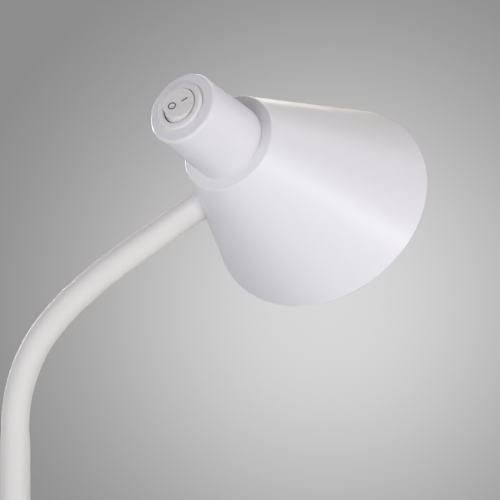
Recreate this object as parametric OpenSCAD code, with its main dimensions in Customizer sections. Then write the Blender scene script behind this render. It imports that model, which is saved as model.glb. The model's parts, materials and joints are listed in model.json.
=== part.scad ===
// Gooseneck desk lamp: a weighted round base, a rigid stem, a flexible neck of
// jointed segments under a smooth sleeve, and a conical shade whose neck carries
// a round rocker switch. Millimetres, +Z up, origin at the centre of the underside.
// The neck bends in the XZ plane at rest, towards +X.

/* [Base] */
// Diameter of the base
base_d = 150; // [130:1:200]
// Height of the cover's top edge above the bottom plate, before it is rounded
cover_edge_h = 13.8; // [13:0.2:17]
// Rise of the cover's dome from its edge to its centre
dome_rise = 11; // [8:0.5:16]
// Rounding of the base's top edge
base_round = 5; // [3:0.5:6]
// Wall of the base cover
cover_wall = 2.4; // [1.8:0.1:3]
// Thickness of the foam pad under the base
pad_t = 2; // [1:0.5:4]
// Thickness of the steel bottom plate
plate_t = 1.2; // [0.8:0.1:2]
// Diameter of the iron ballast
ballast_d = 120; // [100:1:122]
// Thickness of the iron ballast
ballast_t = 12; // [6:0.5:12]
// Diameter of the cord that the inlet takes
cord_d = 6; // [5:0.1:6.5]

/* [Stem] */
// Height at which the flexible neck starts
flex_z = 230; // [140:1:400]
// Outer diameter of the stem tube
stem_d = 11.6; // [11:0.1:12]
// Wall of the stem tube
stem_wall = 1; // [0.8:0.1:1.5]
// Height of the collar on the base
collar_h = 10; // [6:0.5:16]
// Diameter of the collar on the base
collar_d = 24; // [19:0.5:40]

/* [Flexible neck] */
// Length of each neck segment, from hinge to hinge
seg_len = 19.5; // [18:0.5:26]
// Length from the start of the neck to its first hinge
root_len = 12; // [10:0.5:20]
// Length from the last hinge to the end of the sleeve at the shade
tip_len = 20.6; // [19:0.2:30]
// Radius of the tight curve at the foot of the neck
tight_r = 73; // [66:1:200]
// Turn of the tight curve, in degrees
tight_turn = 45.7; // [5:0.1:50]
// Radius of the gentle curve that follows it
gentle_r = 214; // [100:1:400]
// Turn of the gentle curve, in degrees
gentle_turn = 11.8; // [2:0.1:20]
// Outer diameter of the sleeve
sleeve_d = 13.2; // [12.6:0.1:14]
// Wall of the sleeve
sleeve_wall = 1.3; // [1:0.1:1.5]
// Bore of the coiled steel core
core_bore = 6; // [5:0.1:6.5]
// Radius of each segment's ball end
ball_r = 8.2; // [7.6:0.1:8.4]
// Gap between a ball end and the socket around it
ball_gap = 0.3; // [0.2:0.05:0.5]
// Diameter of each insulated wire
wire_d = 1.8; // [1.2:0.1:1.9]

/* [Head] */
// Turn of the head about the end of the neck, in degrees
head_turn = 62; // [0:1:180]
// Length of the neck cover, from its rear face to the shade
neck_len = 36.7; // [34:0.1:48]
// Diameter of the neck cover at its rear face
neck_rear_d = 34; // [32:0.1:36]
// Diameter of the neck cover at the shade
neck_front_d = 36; // [35:0.1:40]
// Wall of the neck cover
neck_wall = 1.8; // [1.2:0.1:1.8]
// Diameter of the shade's small end
shade_small_d = 47; // [45:0.1:56]
// Diameter of the shade where its mouth crosses the axis
shade_mouth_d = 104.6; // [90:0.1:130]
// Length of the shade along its axis, from its small end to its mouth
shade_len = 73.8; // [70:0.1:110]
// Tilt of the shade's mouth, which is longest opposite the arm, in degrees
mouth_tilt = 9.2; // [0:0.1:12]
// Wall of the shade
shade_wall = 2.2; // [1.6:0.1:2.6]
// Distance of the arm's axis in front of the shade's small end
arm_offset = 24; // [22:0.5:26]
// Thickness of the shade's end plate
end_plate_t = 4; // [3:0.1:5]

/* [Lampholder and bulb] */
// Diameter of the lampholder's threaded skirt
skirt_d = 28; // [27:0.1:28.2]
// Distance from the shade's small end to the mouth of the lampholder
skirt_reach = 23.3; // [20:0.1:26]
// Diameter of the lampholder's clamping ring
ring_nut_d = 37; // [35:0.5:40]
// Height of the lampholder's clamping ring
ring_nut_h = 6; // [4:0.5:8]
// Diameter of the bulb's screw cap
bulb_cap_d = 13.9; // [13.5:0.1:14]
// Diameter of the bulb's lens
bulb_d = 39; // [34:0.5:45]
// Length of the bulb beyond its screw cap
bulb_len = 43.5; // [38:0.5:46]

/* [Switch] */
// Diameter of the switch's bezel
bezel_d = 23; // [22:0.1:24]
// Height of the bezel above the neck cover
bezel_t = 2.2; // [1.8:0.1:2.6]
// Diameter of the opening around the rocker
opening_d = 17; // [16.4:0.1:17.2]
// Radius of the rocker's ball-shaped sides
rocker_r = 8.45; // [8:0.05:8.5]
// Radius of the rocker's raised cap
rocker_cap_r = 7.5; // [7:0.1:7.6]
// Full travel of the rocker, in degrees
rocker_travel = 22; // [16:1:24]

/* [Hidden] */
$fn = 72;

// Clearances: fit is a part seated in another, slip is a part that must pass through
fit = 0.05;
slip = 0.15;
eps = 0.01;
// How far a cut runs past the surface that it opens
past = 1;

// ---- derived sizes: base and stem ----
base_r = base_d / 2;
plate_top = pad_t + plate_t;
base_h = plate_top + cover_edge_h + dome_rise;
dome_r = (base_r * base_r + dome_rise * dome_rise) / (2 * dome_rise);
dome_z = base_h - dome_r;
round_z = dome_z + sqrt(pow(dome_r - base_round, 2) - pow(base_r - base_round, 2));
plate_gap = 0.3;
plate_r = base_r - cover_wall - plate_gap;
pad_inset = 3;
inner_top = base_h - cover_wall;
ballast_lift = 0.8;
ballast_z = plate_top + ballast_lift;
ballast_boss_r = 18;
ballast_web_t = 8.6;
nut_room_r = 13;
nut_room_top = inner_top - ballast_web_t;
washer_t = 1;
washer_gap = 3;
nut_h = 4.5;
nut_af = 17;
nipple_r = stem_d / 2 - stem_wall - fit;
nipple_wall = 1.3;
nipple_past_nut = 1.3;
nipple_low = nut_room_top - washer_t - nut_h - nipple_past_nut;
nipple_grip = 16;
screw_inset = 9;
screw_ring_r = ballast_d / 2 - screw_inset;
boss_r = 3.8;
boss_gap = 0.6;
screw_r = 1.5;
screw_l = 8;
screw_hole_l = 9.5;
screw_head_r = 3;
screw_head_t = 1.1;
screw_slot = [3.6, 0.6, 1];
pad_hole_gap = 1.6;
pad_hole_r = screw_head_r + pad_hole_gap;
grommet_wall = 0.8;
grommet_lip = 0.6;
grommet_neck_r = cord_d / 2 + grommet_wall;
grommet_lip_r = grommet_neck_r + grommet_lip;
grommet_lip_t = 1.6;
grommet_set = 0.3;
inlet_z = plate_top + grommet_lip_r + fit;
block_size = [20, 18, 10];
block_inset = 24;
block_x = block_inset - ballast_d / 2;
block_foot_t = 3;
block_barrel_w = 6.4;
block_wire_y = 4;
block_bore_z = 4;
block_screw_r = 1.5;
block_screw_l = 4.5;
block_slot = [3, 0.5, 1.4];
pocket_gap = 1.2;
lead_room = [12, 6];
lead_lift = 0.6;
lead_lap = 5;
lead_out = 3;
lead_turn = 4;
stem_sleeve_r = stem_d / 2 + sleeve_wall;
stem_sleeve_z = base_h + 0.3;
collar_bore_r = stem_sleeve_r + slip;
collar_saddle = 1;
collar_land = 3.5;
collar_rim = 1.6;

// ---- derived sizes: flexible neck ----
segs = 6;
tip = segs + 1;
sleeve_r = sleeve_d / 2;
sleeve_bore_r = sleeve_r - sleeve_wall;
core_gap = 0.1;
core_r = sleeve_bore_r - core_gap;
socket_r = ball_r + ball_gap;
flare_h = 8;
spigot_r = core_bore / 2 - core_gap;
ferrule_wall = 0.6;
ferrule_bore_r = spigot_r - ferrule_wall;
ferrule_flange_t = 1.5;
ferrule_plug_l = 12;
ferrule_spigot_l = 3;
wire_r = wire_d / 2;
wire_y = wire_r + fit;

// ---- derived sizes: head, measured from the rear face along the head's axis ----
shade_z = neck_len;
shade_small_r = shade_small_d / 2;
shade_slope = (shade_mouth_d - shade_small_d) / 2 / shade_len;
shade_skin = shade_wall * sqrt(1 + shade_slope * shade_slope);
mouth_z = shade_z + shade_len;
plate_z = shade_z + end_plate_t;
arm_z = shade_z + arm_offset;
neck_rear_r = neck_rear_d / 2;
neck_front_r = neck_front_d / 2;
neck_round = 1.6;
rear_wall = 2;
skirt_r = skirt_d / 2;
skirt_hole_r = skirt_r + slip;
// The seat is where the arm's shoulder rests, in a recess of the shade's wall
recess_r = sleeve_r + slip;
seat_depth = 2.2;
seat_x = shade_small_r + shade_slope * (arm_offset - recess_r) - seat_depth;
shoulder_t = 1.8;
sleeve_end_x = seat_x + shoulder_t;
core_plug_t = 1.5;
arm_spigot_l = 8;
arm_boss_t = 3;
arm_boss_wall = 2.8;
arm_boss_r = recess_r + arm_boss_wall;
arm_boss_x = seat_x - arm_boss_t;
arm_thread_r = 5;
head_washer_t = 1;
head_washer_inset = 1;
head_nut_h = 3.8;
head_nut_af = 14;
thread_past_nut = 0.9;
thread_end_x = arm_boss_x - head_washer_t - head_nut_h - thread_past_nut;
hook_turns = [60, 180, 300];
hook_set = 1.2;
hook_in_r = neck_front_r - neck_wall - hook_set;
hook_t = 1.4;
hook_w = 5;
hook_root = 8;
hook_barb = 0.7;
hook_barb_h = 1.3;
hook_short = 0.5;
hook_end = plate_z - hook_short;
hook_room = 0.5;
holder_back = 10.7;
holder_rear_z = shade_z - holder_back;
barrel_r = 12.6;
flange_t = 2.2;
flange_gap = 0.3;
flange_r = neck_front_r - neck_wall - flange_gap;
skirt_end = shade_z + skirt_reach;
grips = 12;
grip_r = 1.6;
grip_out = 0.6;
groove_depth = 2.1;
groove_x = skirt_r - groove_depth;
groove_w = 4.8;
groove_past_ring = 6.3;
groove_end = plate_z + ring_nut_h + groove_past_ring;
wire_x = groove_x + wire_r + slip;
wire_bend = 2.6;
wire_skim = 1.4;
wire_drop = 4.5;
wire_tail = 1.5;
thread_gap = 0.2;
shell_t = 0.45;
shell_r = bulb_cap_d / 2 + thread_gap + shell_t;
shell_floor = 1.8;
shell_low = shade_z + shell_floor;
shell_inset = 2;
shell_end = skirt_end - shell_inset;
contact_t = 0.5;
contact_rise = 0.7;
contact_r = 2;
contact_inset = 1;
tip_z = shell_low + contact_rise;
tip_r = 2.4;
tip_h = 1.2;
insulator_h = 2.1;
insulator_step = 0.8;
cap_z = tip_z + tip_h + insulator_h;
cap_t = 0.4;
cap_proud = 1;
cap_end = skirt_end + cap_proud;
bulb_r = bulb_d / 2;
bulb_foot_step = 0.6;
bulb_foot_r = bulb_cap_d / 2 + bulb_foot_step;
bulb_wall = 1.2;
bulb_dome = 8.5;
bulb_rim_z = cap_end + bulb_len - bulb_dome;
bulb_rim_h = 4;
bulb_chamfer = 1;
bulb_ledge = 2;
board_t = 1.4;
chips = 6;
chip_size = [3, 2.8, 0.8];
post_r = 1.8;
post_xy = [7, -5];
post_rise = 1.6;
post_depth = 2;
post_wire_z = holder_rear_z - post_rise - wire_r - fit;
post_lap = 2;

// ---- derived sizes: switch ----
bezel_r = bezel_d / 2;
bezel_edge = 0.5;
switch_r = 9.95;
switch_hole_r = switch_r + slip;
switch_depth = 13;
clip_size = [5, 1.6, 3];
clip_proud = 0.3;
lip_t = 1.2;
opening_r = opening_d / 2;
rocker_room_r = 9.2;
lever_room_r = 7;
lever_room_end = 11;
pivot_z = 1.6;
pivot_pin_r = 1;
pivot_rest = rocker_travel / 2;
rocker_proud = 1.5;
face_slope = 6;
rocker_top = bezel_t + pivot_z + rocker_proud;
rocker_low = 2.5;
rocker_room_end = pivot_z + rocker_low + rocker_r * sin(pivot_rest) + slip;
rocker_pin_l = 2 * (switch_r - slip);
plunger_r = 0.85;
plunger_reach = 6.85;
tube_r = 1.7;
tube_reach = 5.2;
lever_z = 9;
lever_size = [11, 3, 0.5];
lever_rest = 9;
lever_gap = 0.3;
tab_t = 0.8;
tab_w = 4.8;
tab_end = 20.5;
contact_x = 4.8;
tab_lap = 4;

// ---- colours ----
white = [0.93, 0.93, 0.95];
warm_white = [0.9, 0.89, 0.87];
steel = [0.72, 0.73, 0.75];
zinc = [0.8, 0.8, 0.78];
brass = [0.83, 0.68, 0.38];
iron = [0.28, 0.29, 0.3];
dark = [0.16, 0.16, 0.17];
brown = [0.42, 0.26, 0.16];
frost = [0.97, 0.97, 0.95];

// ---- frames along the neck ----
// Portion 0 is the root, 1 to segs are the segments, and tip ends in the head
function part_len(k) = k == 0 ? root_len : k == tip ? tip_len : seg_len;
function start_at(k) = k == 0 ? 0 : start_at(k - 1) + part_len(k - 1);
// Rest bend of portion k: its shares of the tight curve and of the gentle one
function share(k, from, to) = max(0, min(start_at(k) + part_len(k), to) - max(start_at(k), from));
function part_bend(k) =
    let (tight_l = tight_r * tight_turn * PI / 180, gentle_l = gentle_r * gentle_turn * PI / 180)
    tight_turn * share(k, 0, tight_l) / tight_l
        + gentle_turn * share(k, tight_l, tight_l + gentle_l) / gentle_l;
function turn_at(k) = k <= 0 ? 0 : turn_at(k - 1) + part_bend(k - 1);
function is_straight(k) = part_bend(k) < 0.01;
function bend_r(k) = part_len(k) / (part_bend(k) * PI / 180);
function chord(k) = is_straight(k)
    ? [0, part_len(k)]
    : [bend_r(k) * (1 - cos(part_bend(k))), bend_r(k) * sin(part_bend(k))];
function turned(v, a) = [v[0] * cos(a) + v[1] * sin(a), v[1] * cos(a) - v[0] * sin(a)];
function point_at(k) = k <= 0
    ? [0, flex_z]
    : point_at(k - 1) + turned(chord(k - 1), turn_at(k - 1));

// Places children in the frame at the start of portion k, +Z along the neck
module at_joint(k) {
    p = point_at(k);
    translate([p[0], 0, p[1]]) rotate([0, turn_at(k), 0]) children();
}

// Places children in the head's frame: +Z from its rear face to its mouth, +X to the arm
module at_head() {
    at_joint(tip + 1) rotate([0, 0, head_turn]) translate([0, 0, sleeve_end_x])
        rotate([0, 90, 0]) translate([0, 0, -arm_z]) children();
}

// Rest route of portion k and some extra length, with the children as its cross-section
module sweep(k, extra) {
    if (is_straight(k))
        linear_extrude(part_len(k) + extra) children();
    else
        translate([bend_r(k), 0, 0]) rotate([90, 0, 180])
            rotate_extrude(angle = part_bend(k) * (1 + extra / part_len(k)))
                translate([bend_r(k), 0]) children();
}

// Everything past a hinge, apart from the ball around it
module past_ball() {
    difference() {
        cylinder(r = 3 * ball_r, h = 4 * ball_r);
        sphere(ball_r);
    }
}

// One portion of the neck with a socket at its start and a ball end past its last hinge
module neck_piece(k) {
    end = chord(k);
    at_joint(k) difference() {
        sweep(k, k < tip ? 2 * ball_r : 0) children();
        if (k > 0) sphere(socket_r);
        if (k < tip) translate([end[0], 0, end[1]]) rotate([0, part_bend(k), 0]) past_ball();
    }
}

// ---- shared shapes ----
module ring(r_out, r_in) {
    difference() {
        circle(r_out);
        circle(r_in);
    }
}

module tube(r_out, r_in, h) {
    linear_extrude(h) ring(r_out, r_in);
}

module hex(af, h) {
    cylinder(d = af / cos(30), h = h, $fn = 6);
}

// Insulated wire through a list of points
module wire(points) {
    for (i = [0 : len(points) - 1]) {
        if (i > 0) rod(points[i - 1], points[i]);
        if (i > 0 && i < len(points) - 1) knuckle(points[i]);
    }
}

module knuckle(point) {
    translate(point) sphere(wire_r + 0.02, $fn = 24);
}

module rod(a, b) {
    v = b - a;
    run = norm([v[0], v[1]]);
    translate(a) rotate([0, atan2(run, v[2]), atan2(v[1], v[0])])
        cylinder(r = wire_r, h = norm(v), $fn = 24);
}

module wire_pair() {
    for (y = [-wire_y, wire_y]) translate([0, y]) circle(wire_r, $fn = 24);
}

// Half section of the base's outside, moved inwards by inset
module dome_section(inset) {
    top_x = (base_r - base_round) * dome_r / (dome_r - base_round);
    intersection() {
        translate([0, dome_z]) circle(dome_r - inset, $fn = 360);
        square([top_x, base_h]);
    }
    translate([base_r - base_round, round_z]) circle(base_round - inset);
    square([base_r - inset, round_z]);
}

// ---- base ----
module foot_pad() {
    color(dark) difference() {
        cylinder(r = plate_r - pad_inset, h = pad_t);
        at_screws() translate([0, 0, -past]) cylinder(r = pad_hole_r, h = pad_t + 2 * past);
    }
}

module at_screws() {
    for (i = [0 : 2]) rotate([0, 0, 120 * i]) translate([screw_ring_r, 0, 0]) children();
}

module base_plate() {
    color(zinc) difference() {
        translate([0, 0, pad_t]) cylinder(r = plate_r, h = plate_t);
        at_screws() translate([0, 0, pad_t - past]) cylinder(r = screw_r + slip, h = plate_t + 2 * past);
    }
}

module plate_screws() {
    color(zinc) at_screws() {
        translate([0, 0, pad_t - screw_head_t]) difference() {
            cylinder(r = screw_head_r, h = screw_head_t);
            for (a = [0, 90]) rotate([0, 0, a]) cube(screw_slot, center = true);
        }
        translate([0, 0, pad_t - eps]) cylinder(r = screw_r, h = screw_l);
    }
}

// Iron disc whose boss reaches up to the dome, with a room for the nut and one for the leads
module ballast() {
    color(iron) difference() {
        translate([0, 0, ballast_z]) cylinder(r = ballast_d / 2, h = ballast_t);
        ballast_rooms();
        translate([-ballast_d, -grommet_lip_r, 0])
            cube([ballast_d + block_x, 2 * grommet_lip_r, base_h]);
        at_screws() cylinder(r = boss_r + boss_gap, h = base_h);
    }
    color(iron) difference() {
        intersection() {
            translate([0, 0, ballast_z]) cylinder(r = ballast_boss_r, h = base_h);
            translate([0, 0, dome_z]) sphere(dome_r - cover_wall - fit, $fn = 360);
        }
        ballast_rooms();
    }
}

module ballast_rooms() {
    pocket = [block_size[0] + 2 * pocket_gap, block_size[1] + 2 * pocket_gap, 2 * base_h];
    translate([block_x, 0, 0]) cube(pocket, center = true);
    cylinder(r = nut_room_r, h = nut_room_top);
    cylinder(r = nipple_r + slip, h = base_h);
    translate([block_x, -lead_room[0] / 2, 0]) cube([-block_x, lead_room[0], ballast_z + lead_room[1]]);
}

module base_cover() {
    color(white) difference() {
        union() {
            difference() {
                rotate_extrude($fn = 180) difference() {
                    dome_section(0);
                    dome_section(cover_wall);
                }
                cylinder(r = base_r + past, h = pad_t);
            }
            intersection() {
                at_screws() translate([0, 0, plate_top + fit]) cylinder(r = boss_r, h = base_h);
                rotate_extrude($fn = 180) dome_section(cover_wall / 2);
            }
        }
        cylinder(r = nipple_r + slip, h = 2 * base_h);
        at_screws() translate([0, 0, pad_t]) cylinder(r = screw_r + slip, h = screw_hole_l);
        translate([-base_r - past, 0, inlet_z]) rotate([0, 90, 0])
            cylinder(r = grommet_neck_r + fit, h = cover_wall + 2 * past);
    }
}

// Bush in the cover's wall: the inner lip stands off it, because the wall is round there
module cord_grommet() {
    in_z = -grommet_set - grommet_lip_t;
    out_z = cover_wall + fit + grommet_lip_t;
    color(dark) translate([cover_wall - base_r, 0, inlet_z]) rotate([0, -90, 0]) difference() {
        union() {
            translate([0, 0, in_z]) cylinder(r = grommet_lip_r, h = grommet_lip_t);
            translate([0, 0, in_z + eps]) cylinder(r = grommet_neck_r, h = out_z - in_z - 2 * eps);
            translate([0, 0, out_z - grommet_lip_t]) cylinder(r = grommet_lip_r, h = grommet_lip_t);
        }
        translate([0, 0, in_z - past]) cylinder(r = cord_d / 2 + fit, h = out_z - in_z + 2 * past);
    }
}

module at_block() {
    translate([block_x, 0, plate_top + fit]) children();
}

module at_block_screws() {
    for (x = [-1, 1], y = [-1, 1])
        translate([x * block_size[0] / 4, y * block_wire_y, block_bore_z]) children();
}

module terminal_block() {
    color(warm_white) at_block() difference() {
        union() {
            translate([0, 0, block_foot_t / 2])
                cube([block_size[0], block_size[1], block_foot_t], center = true);
            for (y = [-1, 1]) translate([0, y * block_wire_y, block_size[2] / 2])
                cube([block_size[0] - eps, block_barrel_w, block_size[2]], center = true);
        }
        for (y = [-1, 1]) translate([0, y * block_wire_y, block_bore_z]) rotate([0, 90, 0])
            cylinder(r = wire_r + 2 * slip, h = 2 * block_size[0], center = true);
        at_block_screws() cylinder(r = block_screw_r, h = block_size[2]);
    }
}

module block_screws() {
    color(brass) at_block() at_block_screws() translate([0, 0, wire_r + fit]) difference() {
        cylinder(r = block_screw_r - fit, h = block_screw_l);
        translate([0, 0, block_screw_l]) cube(block_slot, center = true);
    }
}

// ---- stem ----
module base_collar() {
    color(white) difference() {
        translate([0, 0, base_h]) rotate_extrude() polygon([
            [collar_bore_r, -collar_saddle], [collar_d / 2, -collar_saddle], [collar_d / 2, collar_land],
            [collar_bore_r + collar_rim, collar_h], [collar_bore_r, collar_h]
        ]);
        translate([0, 0, dome_z]) sphere(dome_r + eps, $fn = 360);
    }
}

module stem_nut() {
    color(zinc) translate([0, 0, nut_room_top - washer_t - nut_h]) difference() {
        hex(nut_af, nut_h);
        translate([0, 0, -past]) cylinder(r = nipple_r + fit, h = nut_h + 2 * past);
    }
}

module stem_washer() {
    color(zinc) translate([0, 0, nut_room_top - washer_t])
        tube(nut_room_r - washer_gap, nipple_r + slip, washer_t);
}

module stem_nipple() {
    color(zinc) translate([0, 0, nipple_low])
        tube(nipple_r, nipple_r - nipple_wall, base_h + nipple_grip - nipple_low);
}

module stem_tube() {
    color(steel) translate([0, 0, base_h + fit])
        tube(stem_d / 2, stem_d / 2 - stem_wall, flex_z - ferrule_flange_t - base_h - fit);
}

module lower_ferrule() {
    flange_z = flex_z - ferrule_flange_t;
    color(zinc) difference() {
        union() {
            translate([0, 0, flange_z - ferrule_plug_l]) cylinder(r = nipple_r, h = ferrule_plug_l + eps);
            translate([0, 0, flange_z]) cylinder(r = stem_d / 2, h = ferrule_flange_t);
            translate([0, 0, flex_z - eps]) cylinder(r = spigot_r, h = ferrule_spigot_l);
        }
        cylinder(r = ferrule_bore_r, h = 2 * flex_z);
    }
}

module stem_sleeve() {
    color(warm_white) {
        rotate_extrude() polygon([
            [stem_d / 2 + fit, stem_sleeve_z], [stem_sleeve_r, stem_sleeve_z],
            [stem_sleeve_r, flex_z - flare_h], [sleeve_r, flex_z], [stem_d / 2 + fit, flex_z]
        ]);
        neck_piece(0) ring(sleeve_r, sleeve_bore_r);
    }
}

module stem_core() {
    color(steel) neck_piece(0) ring(core_r, core_bore / 2);
}

// Two wires from the terminal block, along the plate and up through the stem
module stem_lead() {
    low_z = plate_top + wire_r + lead_lift;
    start_z = plate_top + fit + block_bore_z;
    start_x = block_x + block_size[0] / 2;
    color(brown) {
        for (y = [-1, 1]) wire([
            [start_x - lead_lap, y * block_wire_y, start_z],
            [start_x + lead_out, y * block_wire_y, start_z],
            [-2 * lead_turn, y * wire_y, low_z], [-lead_turn, y * wire_y, low_z],
            [0, y * wire_y, low_z + lead_turn], [0, y * wire_y, flex_z]
        ]);
        neck_piece(0) wire_pair();
    }
}

// ---- flexible neck ----
module neck_sleeve(k) {
    color(warm_white) neck_piece(k) ring(sleeve_r, sleeve_bore_r);
}

module neck_core(k) {
    color(steel) neck_piece(k) ring(core_r, core_bore / 2);
}

module neck_lead(k) {
    color(brown) neck_piece(k) wire_pair();
}

// ---- arm end in the head ----
module head_sleeve() {
    color(warm_white) neck_piece(tip) ring(sleeve_r, sleeve_bore_r);
}

module head_core() {
    color(steel) difference() {
        neck_piece(tip) ring(core_r, core_bore / 2);
        at_joint(tip + 1) translate([0, 0, -core_plug_t - fit]) cylinder(r = sleeve_r, h = tip_len);
    }
}

// Threaded end of the arm: shoulder on the seat, plug against the core, spigot inside it
module upper_ferrule() {
    plug_l = shoulder_t + core_plug_t;
    color(zinc) at_head() translate([0, 0, arm_z]) rotate([0, 90, 0]) difference() {
        union() {
            translate([0, 0, thread_end_x]) cylinder(r = arm_thread_r, h = seat_x - thread_end_x + eps);
            translate([0, 0, seat_x]) cylinder(r = sleeve_r - fit, h = shoulder_t - fit);
            translate([0, 0, seat_x]) cylinder(r = core_r, h = plug_l);
            translate([0, 0, seat_x]) cylinder(r = spigot_r, h = plug_l + arm_spigot_l);
        }
        translate([0, 0, thread_end_x - past]) cylinder(r = ferrule_bore_r, h = shade_mouth_d);
    }
}

module head_washer() {
    color(zinc) at_head() translate([arm_boss_x - head_washer_t, 0, arm_z]) rotate([0, 90, 0])
        tube(arm_boss_r - head_washer_inset, arm_thread_r + slip, head_washer_t);
}

module head_nut() {
    color(zinc) at_head() translate([arm_boss_x - head_washer_t - head_nut_h, 0, arm_z])
        rotate([0, 90, 0]) difference() {
            hex(head_nut_af, head_nut_h);
            translate([0, 0, -past]) cylinder(r = arm_thread_r + fit, h = head_nut_h + 2 * past);
        }
}

// Two wires from the arm, along the lampholder's groove: one to the switch, one to a post
module head_leads() {
    bend_x = thread_end_x - wire_bend;
    hinge_x = sleeve_end_x + tip_len;
    tab_x = contact_x + tab_t / 2 + fit + wire_r;
    color(brown) at_head() difference() {
        union() {
            wire(concat(lead_route(wire_y), [
                [tab_x + wire_bend, wire_y, holder_rear_z - wire_drop], [tab_x, wire_y, tab_end],
                [tab_x, wire_y, tab_end - tab_lap]
            ]));
            wire(concat(lead_route(-wire_y), [
                [wire_x - post_lap, -wire_y - post_lap, post_wire_z], [post_xy[0], post_xy[1], post_wire_z]
            ]));
        }
        translate([hinge_x, 0, arm_z]) sphere(socket_r);
    }
    function lead_route(y) = [
        [hinge_x, y, arm_z], [bend_x, y, arm_z], [skirt_r + wire_skim, y, arm_z - wire_skim],
        [skirt_r + wire_r + slip, y, groove_end - wire_r - slip],
        [wire_x, y, groove_end - wire_drop], [wire_x, y, holder_rear_z - wire_tail]
    ];
}

// ---- shade and neck cover ----
// Outside of the shade as a full cone, moved inwards by skin
module shade_cone(skin, start) {
    run = 1.5 * shade_len;
    low = start - shade_z;
    translate([0, 0, start]) cylinder(
        r1 = shade_small_r - skin + shade_slope * low,
        r2 = shade_small_r - skin + shade_slope * run,
        h = run - low
    );
}

module beyond_mouth() {
    reach = shade_mouth_d * 2;
    translate([0, 0, mouth_z]) rotate([0, mouth_tilt, 0]) translate([-reach / 2, -reach / 2, 0])
        cube([reach, reach, reach / 2]);
}

module shade() {
    color(white) at_head() difference() {
        union() {
            difference() {
                shade_cone(0, shade_z);
                shade_cone(shade_skin, plate_z);
            }
            intersection() {
                translate([arm_boss_x, 0, arm_z]) rotate([0, 90, 0])
                    cylinder(r = arm_boss_r, h = shade_mouth_d);
                shade_cone(shade_skin / 2, shade_z);
            }
        }
        beyond_mouth();
        translate([seat_x, 0, arm_z]) rotate([0, 90, 0]) cylinder(r = recess_r, h = shade_mouth_d);
        translate([arm_boss_x - past, 0, arm_z]) rotate([0, 90, 0])
            cylinder(r = arm_thread_r + slip, h = shade_mouth_d);
        translate([0, 0, shade_z - past]) cylinder(r = skirt_hole_r, h = end_plate_t + 2 * past);
        for (a = hook_turns) rotate([0, 0, a]) {
            translate([hook_in_r - slip, -hook_w / 2 - slip, shade_z - past])
                cube([hook_t + 2 * slip, hook_w + 2 * slip, end_plate_t + 2 * past]);
            translate([hook_in_r - slip, -hook_w / 2 - slip, hook_end - hook_barb_h - slip])
                cube([hook_t + hook_barb + 2 * slip, hook_w + 2 * slip, end_plate_t]);
        }
    }
}

module neck_cover() {
    slope = (neck_front_r - neck_rear_r) / neck_len;
    color(white) at_head() {
        difference() {
            rotate_extrude() difference() {
                union() {
                    polygon([
                        [0, neck_round], [neck_rear_r + slope * neck_round, neck_round],
                        [neck_front_r, neck_len], [0, neck_len]
                    ]);
                    square([neck_rear_r - neck_round, neck_len / 2]);
                    translate([neck_rear_r - neck_round + slope * neck_round, neck_round])
                        circle(neck_round);
                }
                polygon([
                    [0, rear_wall], [neck_rear_r - neck_wall, rear_wall],
                    [neck_front_r - neck_wall, neck_len], [neck_front_r - neck_wall, neck_len + past],
                    [0, neck_len + past]
                ]);
            }
            translate([0, 0, -past]) cylinder(r = switch_hole_r, h = rear_wall + 2 * past);
        }
        for (a = hook_turns) rotate([0, 0, a]) translate([hook_in_r, -hook_w / 2, 0]) {
            translate([0, 0, neck_len - hook_root])
                cube([hook_t, hook_w, hook_end - neck_len + hook_root]);
            translate([0, 0, hook_end - hook_barb_h]) cube([hook_t + hook_barb, hook_w, hook_barb_h]);
        }
    }
}

// ---- lampholder ----
module lampholder() {
    color(warm_white) at_head() difference() {
        union() {
            translate([0, 0, holder_rear_z]) cylinder(r = barrel_r, h = holder_back);
            translate([0, 0, shade_z - flange_t]) cylinder(r = flange_r, h = flange_t - eps);
            translate([0, 0, shade_z - eps]) cylinder(r = skirt_r, h = skirt_end - shade_z);
        }
        translate([0, 0, shell_low - contact_t]) cylinder(r = shell_r + fit, h = skirt_end);
        translate([groove_x, -groove_w / 2, holder_rear_z - past])
            cube([skirt_r, groove_w, groove_end - holder_rear_z + past]);
        for (a = hook_turns) rotate([0, 0, a])
            translate([hook_in_r - hook_room, -hook_w / 2 - hook_room, shade_z - flange_t - past])
                cube([flange_r, hook_w + 2 * hook_room, flange_t + past]);
        for (s = [-1, 1]) translate([s * post_xy[0], s * post_xy[1], holder_rear_z - past])
            cylinder(r = post_r + fit, h = post_depth + past + fit);
    }
}

module holder_ring() {
    color(warm_white) at_head() translate([0, 0, plate_z]) difference() {
        cylinder(r = ring_nut_d / 2, h = ring_nut_h);
        translate([0, 0, -past]) cylinder(r = skirt_r + fit, h = ring_nut_h + 2 * past);
        for (i = [0 : grips - 1]) rotate([0, 0, (i + 0.5) * 360 / grips])
            translate([ring_nut_d / 2 + grip_out, 0, grip_r]) cylinder(r = grip_r, h = ring_nut_h);
    }
}

module holder_shell() {
    color(brass) at_head() translate([0, 0, shell_low])
        tube(shell_r, shell_r - shell_t, shell_end - shell_low);
}

module holder_contact() {
    color(brass) at_head() translate([0, 0, shell_low - contact_t]) {
        cylinder(r = shell_r - shell_t - contact_inset, h = contact_t - fit);
        cylinder(r = contact_r, h = contact_t + contact_rise - fit);
    }
}

module holder_terminals() {
    color(brass) at_head() for (s = [-1, 1])
        translate([s * post_xy[0], s * post_xy[1], holder_rear_z - post_rise])
            cylinder(r = post_r, h = post_rise + post_depth);
}

// Wire from the switch's other terminal to the second post
module link_wire() {
    tab_x = -tab_t / 2 - fit - wire_r;
    color(brown) at_head() wire([
        [tab_x, 0, tab_end - tab_lap], [tab_x, 0, tab_end],
        [post_lap - post_xy[0], -post_xy[1] - post_lap, post_wire_z],
        [-post_xy[0], -post_xy[1], post_wire_z]
    ]);
}

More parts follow.
